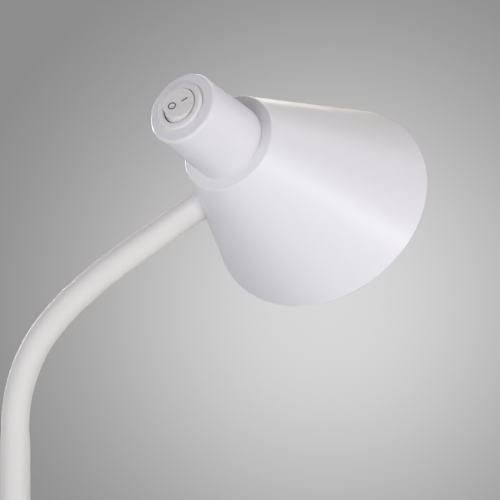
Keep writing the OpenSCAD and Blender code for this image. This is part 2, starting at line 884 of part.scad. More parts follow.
// ---- rocker switch ----
module switch_body() {
    clip_y = switch_r + clip_proud - clip_size[1] / 2;
    color(warm_white) at_head() difference() {
        union() {
            translate([0, 0, -bezel_t]) cylinder(r1 = bezel_r - bezel_edge, r2 = bezel_r, h = bezel_edge);
            translate([0, 0, bezel_edge - bezel_t]) cylinder(r = bezel_r, h = bezel_t - bezel_edge - fit);
            translate([0, 0, -past]) cylinder(r = switch_r, h = switch_depth + past);
            for (s = [-1, 1]) translate([0, s * clip_y, rear_wall + fit + clip_size[2] / 2])
                cube(clip_size, center = true);
        }
        translate([0, 0, -bezel_t - past]) cylinder(r = opening_r, h = rocker_room_end);
        translate([0, 0, lip_t - bezel_t])
            cylinder(r = rocker_room_r, h = rocker_room_end + bezel_t - lip_t);
        cylinder(r = lever_room_r, h = lever_room_end);
        translate([0, 0, pivot_z]) rotate([90, 0, 0])
            cylinder(r = pivot_pin_r + fit, h = 3 * switch_r, center = true);
        for (x = [0, contact_x]) translate([x, 0, lever_room_end])
            cube([tab_t + 2 * fit, tab_w + 2 * fit, 3 * switch_depth], center = true);
    }
}

// One terminal carries the lever, the other is met by it when the switch is on
module switch_terminals() {
    color(brass) at_head() for (x = [0, contact_x]) {
        top = lever_z + x * sin(lever_rest) + lever_size[2] / 2 + lever_gap;
        translate([x - tab_t / 2, -tab_w / 2, top]) cube([tab_t, tab_w, tab_end - top]);
    }
}

// The rocker's own frame has its pivot at the origin and both faces alike
module at_rocker() {
    at_head() translate([0, 0, pivot_z]) rotate([0, pivot_rest, 0]) children();
}

module rocker() {
    far = rocker_r + past;
    rise = far * tan(face_slope);
    color(warm_white) at_rocker() difference() {
        union() {
            intersection() {
                union() {
                    sphere(rocker_r);
                    translate([0, 0, -rocker_top - rise])
                        cylinder(r = rocker_cap_r, h = rocker_top + rise);
                }
                rotate([90, 0, 0]) linear_extrude(2 * far, center = true) polygon([
                    [-far, -rocker_top - rise], [0, -rocker_top], [far, -rocker_top - rise],
                    [far, rocker_low], [-far, rocker_low]
                ]);
            }
            rotate([90, 0, 0]) cylinder(r = pivot_pin_r, h = rocker_pin_l, center = true);
            cylinder(r = tube_r, h = tube_reach);
        }
        cylinder(r = plunger_r + fit, h = tube_reach + past);
    }
}

module plunger() {
    color(steel) at_rocker() {
        translate([0, 0, fit]) cylinder(r = plunger_r, h = plunger_reach - plunger_r);
        translate([0, 0, plunger_reach - plunger_r]) sphere(plunger_r - eps);
    }
}

module contact_lever() {
    color(brass) at_head() translate([0, 0, lever_z]) rotate([0, -lever_rest, 0])
        cube(lever_size, center = true);
}

// ---- bulb ----
module bulb_contact() {
    color(dark) at_head() {
        translate([0, 0, tip_z + fit]) cylinder(r = tip_r, h = tip_h);
        translate([0, 0, tip_z + tip_h])
            cylinder(r1 = tip_r + insulator_step, r2 = bulb_cap_d / 2 - cap_t, h = insulator_h - fit);
    }
}

module bulb_cap() {
    color(zinc) at_head() translate([0, 0, cap_z])
        tube(bulb_cap_d / 2, bulb_cap_d / 2 - cap_t, cap_end - cap_z);
}

// Tapered plastic shell with a straight rim and a ledge inside for the board
module bulb_body() {
    rim_low = bulb_rim_z - bulb_rim_h;
    rim_in_r = bulb_r - bulb_wall;
    ledge_z = bulb_rim_z - bulb_ledge;
    color(white) at_head() rotate_extrude() polygon([
        [bulb_foot_r - bulb_wall, cap_end + fit], [bulb_foot_r, cap_end + fit],
        [bulb_r - bulb_chamfer, rim_low], [bulb_r, rim_low + bulb_chamfer], [bulb_r, bulb_rim_z],
        [rim_in_r, bulb_rim_z], [rim_in_r, ledge_z], [rim_in_r - bulb_wall, ledge_z],
        [rim_in_r - bulb_wall, rim_low + bulb_chamfer]
    ]);
}

module bulb_board() {
    color(zinc) at_head() translate([0, 0, bulb_rim_z - bulb_ledge + fit]) {
        cylinder(r = bulb_r - bulb_wall - fit, h = board_t);
        for (i = [0 : chips - 1]) rotate([0, 0, i * 360 / chips])
            translate([bulb_r / 2, 0, board_t]) cube(chip_size, center = true);
    }
}

module bulb_diffuser() {
    lens_r = (bulb_r * bulb_r + bulb_dome * bulb_dome) / (2 * bulb_dome);
    color(frost) at_head() difference() {
        intersection() {
            translate([0, 0, bulb_rim_z + bulb_dome - lens_r]) sphere(lens_r, $fn = 180);
            translate([0, 0, bulb_rim_z + fit]) cylinder(r = 2 * bulb_r, h = bulb_dome);
        }
        intersection() {
            translate([0, 0, bulb_rim_z + bulb_dome - lens_r]) sphere(lens_r - bulb_wall, $fn = 180);
            translate([0, 0, bulb_rim_z]) cylinder(r = bulb_r - bulb_wall, h = bulb_dome);
        }
    }
}

foot_pad();
base_plate();
plate_screws();
ballast();
base_cover();
cord_grommet();
terminal_block();
block_screws();
base_collar();
stem_nut();
stem_washer();
stem_nipple();
stem_tube();
lower_ferrule();
stem_lead();
stem_core();
stem_sleeve();
for (k = [1 : segs]) {
    neck_core(k);
    neck_lead(k);
    neck_sleeve(k);
}
head_core();
head_leads();
head_sleeve();
upper_ferrule();
head_washer();
head_nut();
shade();
neck_cover();
lampholder();
holder_ring();
holder_shell();
holder_contact();
holder_terminals();
switch_body();
switch_terminals();
link_wire();
rocker();
plunger();
contact_lever();
bulb_cap();
bulb_contact();
bulb_body();
bulb_board();
bulb_diffuser();
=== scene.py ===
import json
import math

import bmesh
import bpy
from mathutils import Matrix, Vector


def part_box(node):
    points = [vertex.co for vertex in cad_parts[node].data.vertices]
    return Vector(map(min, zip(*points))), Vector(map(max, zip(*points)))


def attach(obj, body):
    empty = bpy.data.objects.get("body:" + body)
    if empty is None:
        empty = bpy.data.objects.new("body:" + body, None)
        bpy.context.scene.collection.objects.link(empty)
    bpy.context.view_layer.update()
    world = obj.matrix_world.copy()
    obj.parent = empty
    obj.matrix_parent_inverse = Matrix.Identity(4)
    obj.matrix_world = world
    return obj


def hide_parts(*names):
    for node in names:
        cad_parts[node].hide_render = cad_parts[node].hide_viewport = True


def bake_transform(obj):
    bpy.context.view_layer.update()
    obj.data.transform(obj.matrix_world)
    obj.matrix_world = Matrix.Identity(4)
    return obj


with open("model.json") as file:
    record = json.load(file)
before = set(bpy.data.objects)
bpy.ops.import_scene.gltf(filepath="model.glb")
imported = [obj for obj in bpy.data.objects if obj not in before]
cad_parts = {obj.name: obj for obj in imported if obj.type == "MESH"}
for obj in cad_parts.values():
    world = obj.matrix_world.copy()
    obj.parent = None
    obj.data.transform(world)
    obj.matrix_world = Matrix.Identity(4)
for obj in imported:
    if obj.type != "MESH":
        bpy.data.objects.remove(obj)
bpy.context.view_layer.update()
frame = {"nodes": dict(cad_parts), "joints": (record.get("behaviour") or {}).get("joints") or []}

# ---------------------------------------------------------------- sizes, in millimetres
MM = 0.001
FIT = 0.05
SLIP = 0.15
PAST = 1

# Base
BASE_R = 75
PAD_T = 2
PAD_R = 69.3
PAD_HOLE_R = 4.6
BASE_H = 28
DOME_RISE = 11
DOME_R = (BASE_R ** 2 + DOME_RISE ** 2) / (2 * DOME_RISE)
COVER_ROUND = 3.7
COVER_WALL = 2.4
COVER_LIP = 0.5
SCREW_RING_R = 51
SCREW_TURNS = (0, 120, 240)
SCREW_HEAD_R = 3
SCREW_HEAD_T = 1.1
SCREW_R = 1.5
SCREW_L = 8
SCREW_BOSS_R = 3.8
SCREW_BOSS_LOW = PAD_T + 1.25
SCREW_HOLE_END = PAD_T + 9.5
# Each cross slot's half length along X and along Y, and the metal left under it
CROSS_SLOTS = ((1.7, 0.3, 0.4), (0.3, 1.7, 0.45))
NIPPLE_R = 4.75
COLLAR_R = 12
COLLAR_H = 10
COLLAR_LAND = 3.5
COLLAR_RIM = 1.6
STEM_NUT_AF = 17
CORD_R = 3
GROMMET_NECK_R = 3.8
GROMMET_LIP_R = 4.4
GROMMET_LIP_T = 1.6
GROMMET_SET = 0.3
INLET_Z = 7.65

# Stem and flexible neck
STEM_R = 5.8
SLEEVE_WALL = 1.3
SLEEVE_R = 6.6
SLEEVE_RIM = 0.4
STEM_SLEEVE_Z = 28.3
FERRULE_FLANGE_T = 1.5
FLARE_H = 10
CORE_R = 5.2
CORE_BORE_R = 3
CORE_PLUG_T = 1.5
COIL_PITCH = 2.2
COIL_DEPTH = 0.45
TIP_LEN = 20.6

# Head, along its axis from the rear face
PIVOT_Z = 1.6
NECK_LEN = 36.7
NECK_REAR_R = 17
NECK_FRONT_R = 18
NECK_WALL = 1.8
NECK_ROUND = 1.6
NECK_LIP = 0.12
REAR_WALL = 2
SHADE_SMALL_R = 23.5
SHADE_MOUTH_R = 52.3
SHADE_LEN = 73.8
SHADE_SLOPE = (SHADE_MOUTH_R - SHADE_SMALL_R) / SHADE_LEN
SHADE_WALL = 2.2
SHADE_EDGE = 0.7
SHADE_RIM = 0.6
SHADE_SPARE = 20
MOUTH_Z = NECK_LEN + SHADE_LEN
MOUTH_TILT = math.radians(9.2)
END_PLATE_T = 4
PLATE_Z = NECK_LEN + END_PLATE_T
ARM_AHEAD = 24
ARM_Z = NECK_LEN + ARM_AHEAD
RECESS_R = SLEEVE_R + SLIP
SEAT_SINK = 2.2
SEAT_X = SHADE_SMALL_R + SHADE_SLOPE * (ARM_AHEAD - RECESS_R) - SEAT_SINK
ARM_BOSS_WALL = 2.8
ARM_BOSS_FLOOR = 3
ARM_BOSS_R = RECESS_R + ARM_BOSS_WALL
ARM_BOSS_X = SEAT_X - ARM_BOSS_FLOOR
ARM_THREAD_R = 5
WASHER_T = 1
NUT_H = 3.8
NUT_AF = 14
HOOK_TURNS = (60, 180, 300)
HOOK_INSET = 1.2
HOOK_X = NECK_FRONT_R - NECK_WALL - HOOK_INSET
HOOK_T = 1.4
HOOK_W = 5
HOOK_ROOT = 8
HOOK_END = PLATE_Z - 0.5
HOOK_BARB = 0.7
HOOK_BARB_H = 1.3
HOOK_PLAY = 0.5

# Lampholder and bulb
SKIRT_R = 14
SKIRT_END = NECK_LEN + 23.3
HOLDER_REAR = NECK_LEN - 10.7
BARREL_R = 12.6
FLANGE_R = 15.9
FLANGE_T = 2.2
HOLDER_BORE_R = 7.65
HOLDER_FLOOR = NECK_LEN + 1.3
GROOVE_X = 11.9
GROOVE_W = 4.8
GROOVE_END = PLATE_Z + 12.3
POST_HOLE_R = 1.85
POST_HOLE_H = 2.05
POST_AT = (7, -5)
RING_R = 18.5
RING_H = 6
RING_MOUTH_W = 1.6
RING_MOUTH_H = 0.8
RING_GRIPS = 12
RING_GRIP_R = 1.6
RING_GRIP_OUT = 0.6
THREAD_PITCH = 2
THREAD_DEPTH = 0.7
CAP_R = 6.95
CAP_T = 0.4
CAP_REAR = NECK_LEN + 5.8
CAP_END = SKIRT_END + 1
CAP_PITCH = 2.82
CAP_DEPTH = 0.7
BULB_FOOT_R = CAP_R + 0.6
BULB_NECK_H = 6
BULB_NECK_FLARE = 0.6
BULB_NECK_BEND = 5
BULB_R = 19.5
BULB_LEN = 43.5
BULB_DOME = 8.5
BULB_RIM_Z = CAP_END + BULB_LEN - BULB_DOME
BULB_RIM_H = 4
BULB_WALL = 1.2
BULB_LEDGE = 2

# Switch
BEZEL_R = 11.5
BEZEL_T = 2.2
BEZEL_ROUND = 1.1
BEZEL_FOOT = 0.8
BEZEL_LIP = 0.4
OPENING_R = 8.5
OPENING_LIP = 1.2
SWITCH_R = 9.95
SWITCH_DEPTH = 13
ROOM_R = 9.2
ROOM_END = 5.86
LEVER_ROOM_R = 7
LEVER_ROOM_END = 11
TAB_T = 0.8
TAB_W = 4.8
TAB_XS = (0, 4.8)
ROCKER_R = 8.45
ROCKER_CAP_R = 7.5
ROCKER_TOP = 5.3
ROCKER_LOW = 2.5
ROCKER_TILT = math.radians(11)
HOLLOW_R = 34
HOLLOW_STEPS = 512
ROCKER_EDGE = 0.5
ROCKER_DRAFT = 0.3
PIN_R = 1
TUBE_R = 1.7
TUBE_REACH = 5.2
PLUNGER_R = 0.85
MARK_T = 0.2
MARK_PROUD = 0.1
MARK_EDGE = 0.05
RING_MARK_X = 3.3
RING_MARK_R = 1.6
RING_MARK_W = 0.55
BAR_MARK_X = -3.0
BAR_MARK = (3.2, 0.6)

# ---------------------------------------------------------------- places, from the frame
joints = {joint["name"]: joint for joint in frame["joints"]}
NECK_JOINTS = ("neck_pitch_1", "neck_side_1", "neck_pitch_2", "neck_side_2",
               "neck_pitch_3", "neck_side_3", "neck_pitch_4")


def head_frame():
    """The head's axes, which turn millimetres to metres: +Z from rear face to mouth, and +X to the arm."""
    pivot = Vector(joints["rocker_press"]["pos_m"])
    axis_z = (Vector(joints["lever_tip"]["pos_m"]) - pivot).normalized()
    axis_y = -Vector(joints["rocker_press"]["axis"])
    turn = Matrix((axis_y.cross(axis_z), axis_y, axis_z)).transposed().to_4x4()
    return Matrix.Translation(pivot - axis_z * PIVOT_Z * MM) @ turn @ Matrix.Scale(MM, 4)


def shift(x, y, z):
    return Matrix.Translation((x, y, z))


STAND = Matrix.Scale(MM, 4)
HEAD = head_frame()
ROCKER = HEAD @ shift(0, 0, PIVOT_Z) @ Matrix.Rotation(ROCKER_TILT, 4, "Y")
ARM = HEAD @ shift(0, 0, ARM_Z) @ Matrix.Rotation(math.pi / 2, 4, "Y")
INLET = STAND @ shift(-BASE_R, 0, INLET_Z) @ Matrix.Rotation(-math.pi / 2, 4, "Y")

# The neck's line, in millimetres: a start, seven hinges and an end, with an arc between each two
neck_points = [Vector((0, 0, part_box("stem_tube")[1].z / MM + FERRULE_FLANGE_T))]
neck_points += [Vector(joints[name]["pos_m"]) / MM for name in NECK_JOINTS]
neck_tangents = [Vector((0, 0, 1))]
for here, there in zip(neck_points, neck_points[1:]):
    chord = (there - here).normalized()
    neck_tangents.append(2 * neck_tangents[-1].dot(chord) * chord - neck_tangents[-1])
neck_points.append(neck_points[-1] + neck_tangents[-1] * TIP_LEN)


def ring_frame(point, tangent):
    """Frame with +Z along a tangent and +Y across the neck's bend."""
    across = Vector((0, 1, 0))
    turn = Matrix((across.cross(tangent), across, tangent)).transposed().to_4x4()
    return Matrix.Translation(point) @ turn


def neck_frame(portion, share):
    """Frame on the neck's line at a share of one portion's length."""
    chord = neck_points[portion + 1] - neck_points[portion]
    tangent = neck_tangents[portion]
    half_turn = math.acos(min(1, tangent.dot(chord.normalized())))
    straight = half_turn < math.radians(0.1)
    reach = share if straight else math.sin(half_turn * share) / math.sin(half_turn)
    along = Matrix.Rotation(0 if straight else half_turn * share, 3, "Y")
    point = neck_points[portion] + (along @ tangent) * chord.length * reach
    return ring_frame(point, along @ along @ tangent)


# ---------------------------------------------------------------- mesh helpers
WELD = 0.002
SHARP = math.radians(32)


def outline(bm, points, closed, arc_steps):
    """Wire in the XZ plane through (radius, height) points. A third number rounds the corner there."""
    corners = [bm.verts.new((point[0], 0, point[1])) for point in points]
    for start, end in zip(corners, corners[1:] + corners[:1] if closed else corners[1:]):
        bm.edges.new((start, end))
    for corner, point in zip(corners, points):
        if len(point) == 3:
            bmesh.ops.bevel(bm, geom=[corner], offset=point[2], offset_type="OFFSET", segments=arc_steps,
                            profile=0.5, affect="VERTICES", material=-1)


def spin_round(bm, steps):
    bmesh.ops.spin(bm, geom=bm.verts[:] + bm.edges[:], cent=(0, 0, 0), axis=(0, 0, 1), dvec=(0, 0, 0),
                   angle=math.tau, steps=steps, use_merge=True)


def lathe(points, closed=True, steps=96, arc_steps=5):
    """Bmesh of an outline turned about Z. An open outline starts and ends on the axis."""
    bm = bmesh.new()
    outline(bm, points, closed, arc_steps)
    spin_round(bm, steps)
    return bm


def disc(radius, low, high, steps=64):
    """Plain closed cylinder, for a cutter or a pin."""
    bm = bmesh.new()
    bmesh.ops.create_cone(bm, cap_ends=True, segments=steps, radius1=radius, radius2=radius, depth=high - low,
                          matrix=shift(0, 0, (low + high) / 2))
    return bm


def block(low, high):
    """Box between two corners."""
    bm = bmesh.new()
    low, high = Vector(low), Vector(high)
    middle = Matrix.Translation((low + high) / 2)
    bmesh.ops.create_cube(bm, size=1, matrix=middle @ Matrix.Diagonal((high - low).to_4d()))
    return bm


def soften_edges(bm, width, edges=None, steps=3):
    bmesh.ops.bevel(bm, geom=edges or bm.edges[:], offset=width, offset_type="OFFSET", segments=steps,
                    profile=0.5, affect="EDGES", material=-1)


def shade_smooth(mesh):
    """Smooth faces, with the edges sharp where the surface turns a corner."""
    bm = bmesh.new()
    bm.from_mesh(mesh)
    for face in bm.faces:
        face.smooth = True
    for edge in bm.edges:
        edge.smooth = len(edge.link_faces) == 2 and edge.calc_face_angle() < SHARP
    bm.to_mesh(mesh)
    bm.free()


def piece(name, bm, place=STAND):
    """Object of a closed bmesh in millimetres, with its place in its mesh and its faces outwards."""
    bmesh.ops.remove_doubles(bm, verts=bm.verts[:], dist=WELD)
    bmesh.ops.recalc_face_normals(bm, faces=bm.faces[:])
    bmesh.ops.transform(bm, matrix=place, verts=bm.verts[:])
    mesh = bpy.data.meshes.new(name)
    bm.to_mesh(mesh)
    bm.free()
    shade_smooth(mesh)
    made = bpy.data.objects.new(name, mesh)
    bpy.context.scene.collection.objects.link(made)
    return made


def carve(body, bm, place, operation="DIFFERENCE"):
    """Cuts the closed bmesh out of a piece, or joins it on, for good."""
    tool = piece("tool", bm, place)
    modifier = body.modifiers.new(operation, "BOOLEAN")
    modifier.operation = operation
    modifier.object = tool
    modifier.solver = "EXACT"
    done = bpy.data.meshes.new_from_object(body.evaluated_get(bpy.context.evaluated_depsgraph_get()))
    body.modifiers.clear()
    body.data = done
    bpy.data.objects.remove(tool)
    shade_smooth(done)


def taken_back(made):
    """The bmesh of a piece that was only needed to shape another one. The piece itself goes."""
    bm = bmesh.new()
    bm.from_mesh(made.data)
    bpy.data.objects.remove(made)
    return bm


def dress(made, body, slot, look, *nodes):
    """Even shading, a finish, the body that the piece rides on and the nodes that it stands for."""
    even = made.modifiers.new("even_shading", "WEIGHTED_NORMAL")
    even.keep_sharp = True
    made.data.materials.clear()
    made.data.materials.append(look)
    if nodes:
        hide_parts(*nodes)
    if body:
        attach(made, body)
    return made


def skin(rings, sides):
    """Closed bmesh over (frame, radius) rings in their order, with the last joined to the first."""
    bm = bmesh.new()
    places = [place @ Matrix.Diagonal((radius, radius, 1, 1)) for place, radius in rings]
    bmesh.ops.create_circle(bm, segments=sides, radius=1, matrix=places[0])
    first = bm.edges[:]
    loop = first
    for before, after in zip(places, places[1:]):
        grown = bmesh.ops.extrude_edge_only(bm, edges=loop)["geom"]
        loop = [item for item in grown if isinstance(item, bmesh.types.BMEdge)]
        verts = [item for item in grown if isinstance(item, bmesh.types.BMVert)]
        bmesh.ops.transform(bm, matrix=after @ before.inverted(), verts=verts)
    bmesh.ops.bridge_loops(bm, edges=first + loop)
    return bm


def threaded_rod(radius, depth, pitch, low, high, sides=64, rings=6):
    """Closed rod whose side is a rolled thread: one pitch of wave, turned and raised, then cut to length."""
    turns = math.ceil((high - low) / pitch) + 2
    bm = bmesh.new()
    wave = []
    for step in range(rings + 1):
        share = step / rings
        inset = depth / 2 * (1 - math.cos(math.tau * share))
        wave.append(bm.verts.new((radius - inset, 0, low + pitch * (share - 1.5))))
    for start, end in zip(wave, wave[1:]):
        bm.edges.new((start, end))
    bmesh.ops.spin(bm, geom=bm.verts[:] + bm.edges[:], cent=(0, 0, 0), axis=(0, 0, 1),
                   dvec=(0, 0, pitch / sides), angle=math.tau * turns, steps=sides * turns)
    bmesh.ops.remove_doubles(bm, verts=bm.verts[:], dist=WELD)
    for height, normal in ((low, (0, 0, -1)), (high, (0, 0, 1))):
        bmesh.ops.bisect_plane(bm, geom=bm.verts[:] + bm.edges[:] + bm.faces[:], plane_co=(0, 0, height),
                               plane_no=normal, clear_outer=True)
        rim = [edge for edge in bm.edges if edge.is_boundary and abs(edge.verts[0].co.z - height) < WELD
               and abs(edge.verts[1].co.z - height) < WELD]
        bmesh.ops.contextual_create(bm, geom=rim)
    return bm


def hex_nut(across, height, bore, chamfer=0.8):
    """Hexagonal nut standing on Z = 0, with its corners turned down at both faces."""
    bm = bmesh.new()
    radius = across / 2 / math.cos(math.pi / 6)
    bmesh.ops.create_cone(bm, cap_ends=True, segments=6, radius1=radius, radius2=radius, depth=height,
                          matrix=shift(0, 0, height / 2))
    nut = piece("nut", bm)
    cone = [(0, -FIT), (across / 2 - FIT, -FIT), (across / 2 + chamfer, chamfer / 2),
            (across / 2 + chamfer, height - chamfer / 2), (across / 2 - FIT, height + FIT), (0, height + FIT)]
    carve(nut, lathe(cone, closed=False), STAND, "INTERSECT")
    carve(nut, disc(bore, -PAST, height + PAST), STAND)
    bm = taken_back(nut)
    bmesh.ops.transform(bm, matrix=STAND.inverted(), verts=bm.verts[:])
    return bm


# ---------------------------------------------------------------- finishes
def add_node(tree, kind, inputs=(), **settings):
    """Node with its settings and its inputs, which are values or other nodes' outputs."""
    made = tree.nodes.new(kind)
    for key, value in settings.items():
        setattr(made, key, value)
    for key, value in dict(inputs).items():
        if isinstance(value, bpy.types.NodeSocket):
            tree.links.new(value, made.inputs[key])
        else:
            made.inputs[key].default_value = value
    return made


def maths(tree, operation, *values):
    return add_node(tree, "ShaderNodeMath", enumerate(values), operation=operation).outputs[0]


def noise(tree, where, size, detail=3, rough=0.55):
    return add_node(tree, "ShaderNodeTexNoise",
                    {"Vector": where, "Scale": 1 / (size * MM), "Detail": detail, "Roughness": rough})


def finish(name, colour, gloss, mottle, grain, metal=0.0, stretch=(1, 1, 1), **sockets):
    """Moulded or worked surface. gloss is (low, high) roughness, mottle is (size, share of the colour),
    grain is (size, height), and sizes are millimetres. stretch draws the grain out along an axis."""
    made = bpy.data.materials.new(name)
    made.use_nodes = True
    tree = made.node_tree
    shader = tree.nodes["Principled BSDF"]
    where = add_node(tree, "ShaderNodeTexCoord").outputs["Object"]
    drawn = add_node(tree, "ShaderNodeMapping", {"Vector": where, "Scale": stretch}).outputs["Vector"]
    cloud = noise(tree, where, mottle[0], detail=4)
    share = mottle[1]
    tint = add_node(tree, "ShaderNodeMix", {"Factor": cloud.outputs["Fac"]}, data_type="RGBA")
    tint.inputs["A"].default_value = [channel * (1 - share) for channel in colour] + [1]
    tint.inputs["B"].default_value = [min(1, channel * (1 + share)) for channel in colour] + [1]
    smear = noise(tree, drawn, mottle[0] / 3)
    level = add_node(tree, "ShaderNodeMapRange", {"Value": smear.outputs["Fac"], "From Min": 0.3,
                                                  "From Max": 0.7, "To Min": gloss[0], "To Max": gloss[1]})
    fine = noise(tree, drawn, grain[0], detail=2)
    bump = add_node(tree, "ShaderNodeBump", {"Height": fine.outputs["Fac"], "Distance": grain[1] * MM,
                                             "Strength": 1.0})
    tree.links.new(tint.outputs["Result"], shader.inputs["Base Color"])
    tree.links.new(level.outputs["Result"], shader.inputs["Roughness"])
    tree.links.new(bump.outputs["Normal"], shader.inputs["Normal"])
    shader.inputs["Metallic"].default_value = metal
    for socket, value in sockets.items():
        shader.inputs[socket.replace("_", " ")].default_value = value
    return made


SHADE_COLOUR = (0.80, 0.79, 0.84)
SLEEVE_COLOUR = (0.79, 0.775, 0.775)
SWITCH_COLOUR = (0.80, 0.78, 0.795)
COVER_COLOUR = (0.80, 0.80, 0.82)
ZINC_COLOUR = (0.62, 0.62, 0.60)

satin_shade = finish("satin_shade_plastic", SHADE_COLOUR, (0.29, 0.35), (40, 0.008), (0.5, 0.003))
satin_cover = finish("satin_cover_plastic", COVER_COLOUR, (0.38, 0.48), (45, 0.015), (0.5, 0.004))
soft_sleeve = finish("soft_sleeve_rubber", SLEEVE_COLOUR, (0.50, 0.60), (24, 0.006), (0.35, 0.002))
switch_shell = finish("switch_plastic", SWITCH_COLOUR, (0.26, 0.34), (14, 0.012), (0.4, 0.002))
mark_ink = finish("mark_ink", (0.075, 0.075, 0.08), (0.4, 0.5), (3, 0.05), (0.2, 0.002))
holder_shell_white = finish("holder_plastic", (0.72, 0.71, 0.68), (0.42, 0.55), (15, 0.02), (0.3, 0.006))
bulb_white = finish("bulb_plastic", (0.80, 0.80, 0.79), (0.20, 0.28), (20, 0.01), (0.6, 0.002))
milky_lens = finish("frosted_lens", (0.86, 0.86, 0.83), (0.30, 0.38), (10, 0.01), (0.4, 0.003),
                    Subsurface_Weight=0.35, Subsurface_Scale=0.004)
dark_foam = finish("foam_pad", (0.022, 0.022, 0.024), (0.85, 0.95), (12, 0.25), (0.5, 0.12))
black_rubber = finish("grommet_rubber", (0.025, 0.025, 0.027), (0.55, 0.7), (8, 0.15), (0.4, 0.01))
zinc = finish("zinc_steel", ZINC_COLOUR, (0.22, 0.36), (6, 0.10), (0.3, 0.004), metal=1.0)
spring = finish("spring_steel", (0.46, 0.47, 0.49), (0.24, 0.38), (5, 0.12), (0.4, 0.006), metal=1.0,
                stretch=(1, 1, 0.2))
cast_iron = finish("ballast_iron", (0.045, 0.047, 0.05), (0.6, 0.8), (9, 0.3), (0.9, 0.12), metal=0.3)
brass = finish("brass", (0.66, 0.45, 0.17), (0.18, 0.34), (4, 0.12), (0.25, 0.003), metal=1.0)
wire_skin = finish("wire_pvc", (0.14, 0.055, 0.022), (0.35, 0.45), (6, 0.08), (0.3, 0.003))
black_glass = finish("contact_glass", (0.012, 0.012, 0.014), (0.08, 0.14), (5, 0.1), (0.5, 0.001))
nickel = finish("cap_nickel", (0.58, 0.57, 0.55), (0.16, 0.28), (5, 0.08), (0.3, 0.002), metal=1.0)
board_white = finish("board_lacquer", (0.78, 0.78, 0.76), (0.30, 0.42), (6, 0.03), (0.3, 0.003))

# ---------------------------------------------------------------- base


def dome(radius, inset=0.0):
    """Height of the cover's dome at a radius, with the surface moved inwards."""
    return BASE_H - DOME_R + math.sqrt((DOME_R - inset) ** 2 - radius ** 2)


def at_screws(shape, target, operation):
    """Cuts or joins one shape at each plate screw's place."""
    for turn in SCREW_TURNS:
        place = STAND @ Matrix.Rotation(math.radians(turn), 4, "Z") @ shift(SCREW_RING_R, 0, 0)
        carve(target, shape(), place, operation)


def base_cover():
    hole_r = NIPPLE_R + SLIP
    inner_r = BASE_R - COVER_WALL
    rings = [hole_r + (BASE_R - hole_r) * step / 10 for step in range(10)]
    top = [(radius, dome(radius)) for radius in rings]
    ceiling = [(radius * inner_r / BASE_R, dome(radius, COVER_WALL)) for radius in reversed(rings[1:])]
    side = [(BASE_R, dome(BASE_R), COVER_ROUND), (BASE_R, PAD_T, COVER_LIP), (inner_r, PAD_T),
            (inner_r, dome(BASE_R, COVER_WALL), COVER_WALL)]
    hole = [(hole_r, dome(hole_r, COVER_WALL))]
    shell = piece("base_shell", lathe(top + side + ceiling + hole, steps=144, arc_steps=8))
    boss_end = dome(SCREW_RING_R + SCREW_BOSS_R, COVER_WALL / 2)
    at_screws(lambda: disc(SCREW_BOSS_R, SCREW_BOSS_LOW, boss_end), shell, "UNION")
    at_screws(lambda: disc(SCREW_R + SLIP, 0, SCREW_HOLE_END), shell, "DIFFERENCE")
    carve(shell, disc(GROMMET_NECK_R + FIT, -COVER_WALL - PAST, PAST), INLET)
    dress(shell, "stand", "cover_plastic", satin_cover, "base_cover")


def base_collar():
    bore = STEM_R + SLEEVE_WALL + SLIP
    ring = piece("collar_ring", lathe([
        (bore, dome(bore) + FIT), (COLLAR_R, dome(COLLAR_R) + FIT), (COLLAR_R, BASE_H + COLLAR_LAND, 0.8),
        (bore + COLLAR_RIM, BASE_H + COLLAR_H, 0.7), (bore, BASE_H + COLLAR_H, 0.3)]))
    dress(ring, "stand", "cover_plastic", satin_cover, "base_collar")


def cord_grommet():
    low = -COVER_WALL - GROMMET_SET - GROMMET_LIP_T
    high = FIT + GROMMET_LIP_T
    bore = CORD_R + FIT
    bush = piece("inlet_grommet", lathe([
        (bore, low, 0.3), (GROMMET_LIP_R, low, 0.4), (GROMMET_LIP_R, low + GROMMET_LIP_T, 0.3),
        (GROMMET_NECK_R, low + GROMMET_LIP_T), (GROMMET_NECK_R, high - GROMMET_LIP_T),
        (GROMMET_LIP_R, high - GROMMET_LIP_T, 0.3), (GROMMET_LIP_R, high, 0.6), (bore, high, 0.4)],
        steps=64), INLET)
    dress(bush, "stand", "grommet_rubber", black_rubber, "cord_grommet")


def foot_pad():
    pad = piece("foam_foot", lathe([(0, 0), (PAD_R, 0, 0.5), (PAD_R, PAD_T, 0.3), (0, PAD_T)], closed=False,
                                   steps=128))
    at_screws(lambda: disc(PAD_HOLE_R, -PAST, PAD_T + PAST), pad, "DIFFERENCE")
    dress(pad, "stand", "pad_foam", dark_foam, "foot_pad")


def plate_screws():
    """Three pan-head screws with a cross slot, as one piece."""
    heads = None
    for turn in SCREW_TURNS:
        place = STAND @ Matrix.Rotation(math.radians(turn), 4, "Z") @ shift(SCREW_RING_R, 0, PAD_T)
        screw = lathe([
            (0, -SCREW_HEAD_T), (SCREW_HEAD_R - 0.7, -SCREW_HEAD_T, 0.5), (SCREW_HEAD_R, -0.5, 0.3),
            (SCREW_HEAD_R, 0), (SCREW_R, 0), (SCREW_R, SCREW_L - 1), (0.5, SCREW_L), (0, SCREW_L)],
            closed=False, steps=48)
        if heads is None:
            heads = piece("plate_screw_set", screw, place)
        else:
            carve(heads, screw, place, "UNION")
        for half_x, half_y, floor in CROSS_SLOTS:
            slot = block((-half_x, -half_y, -SCREW_HEAD_T - PAST), (half_x, half_y, -floor))
            carve(heads, slot, place)
    dress(heads, "stand", "zinc_steel", zinc, "plate_screws")


base_cover()
base_collar()
cord_grommet()
foot_pad()
plate_screws()

# ---------------------------------------------------------------- stem and neck
SLEEVE_SIDES = 48
COIL_SIDES = 32


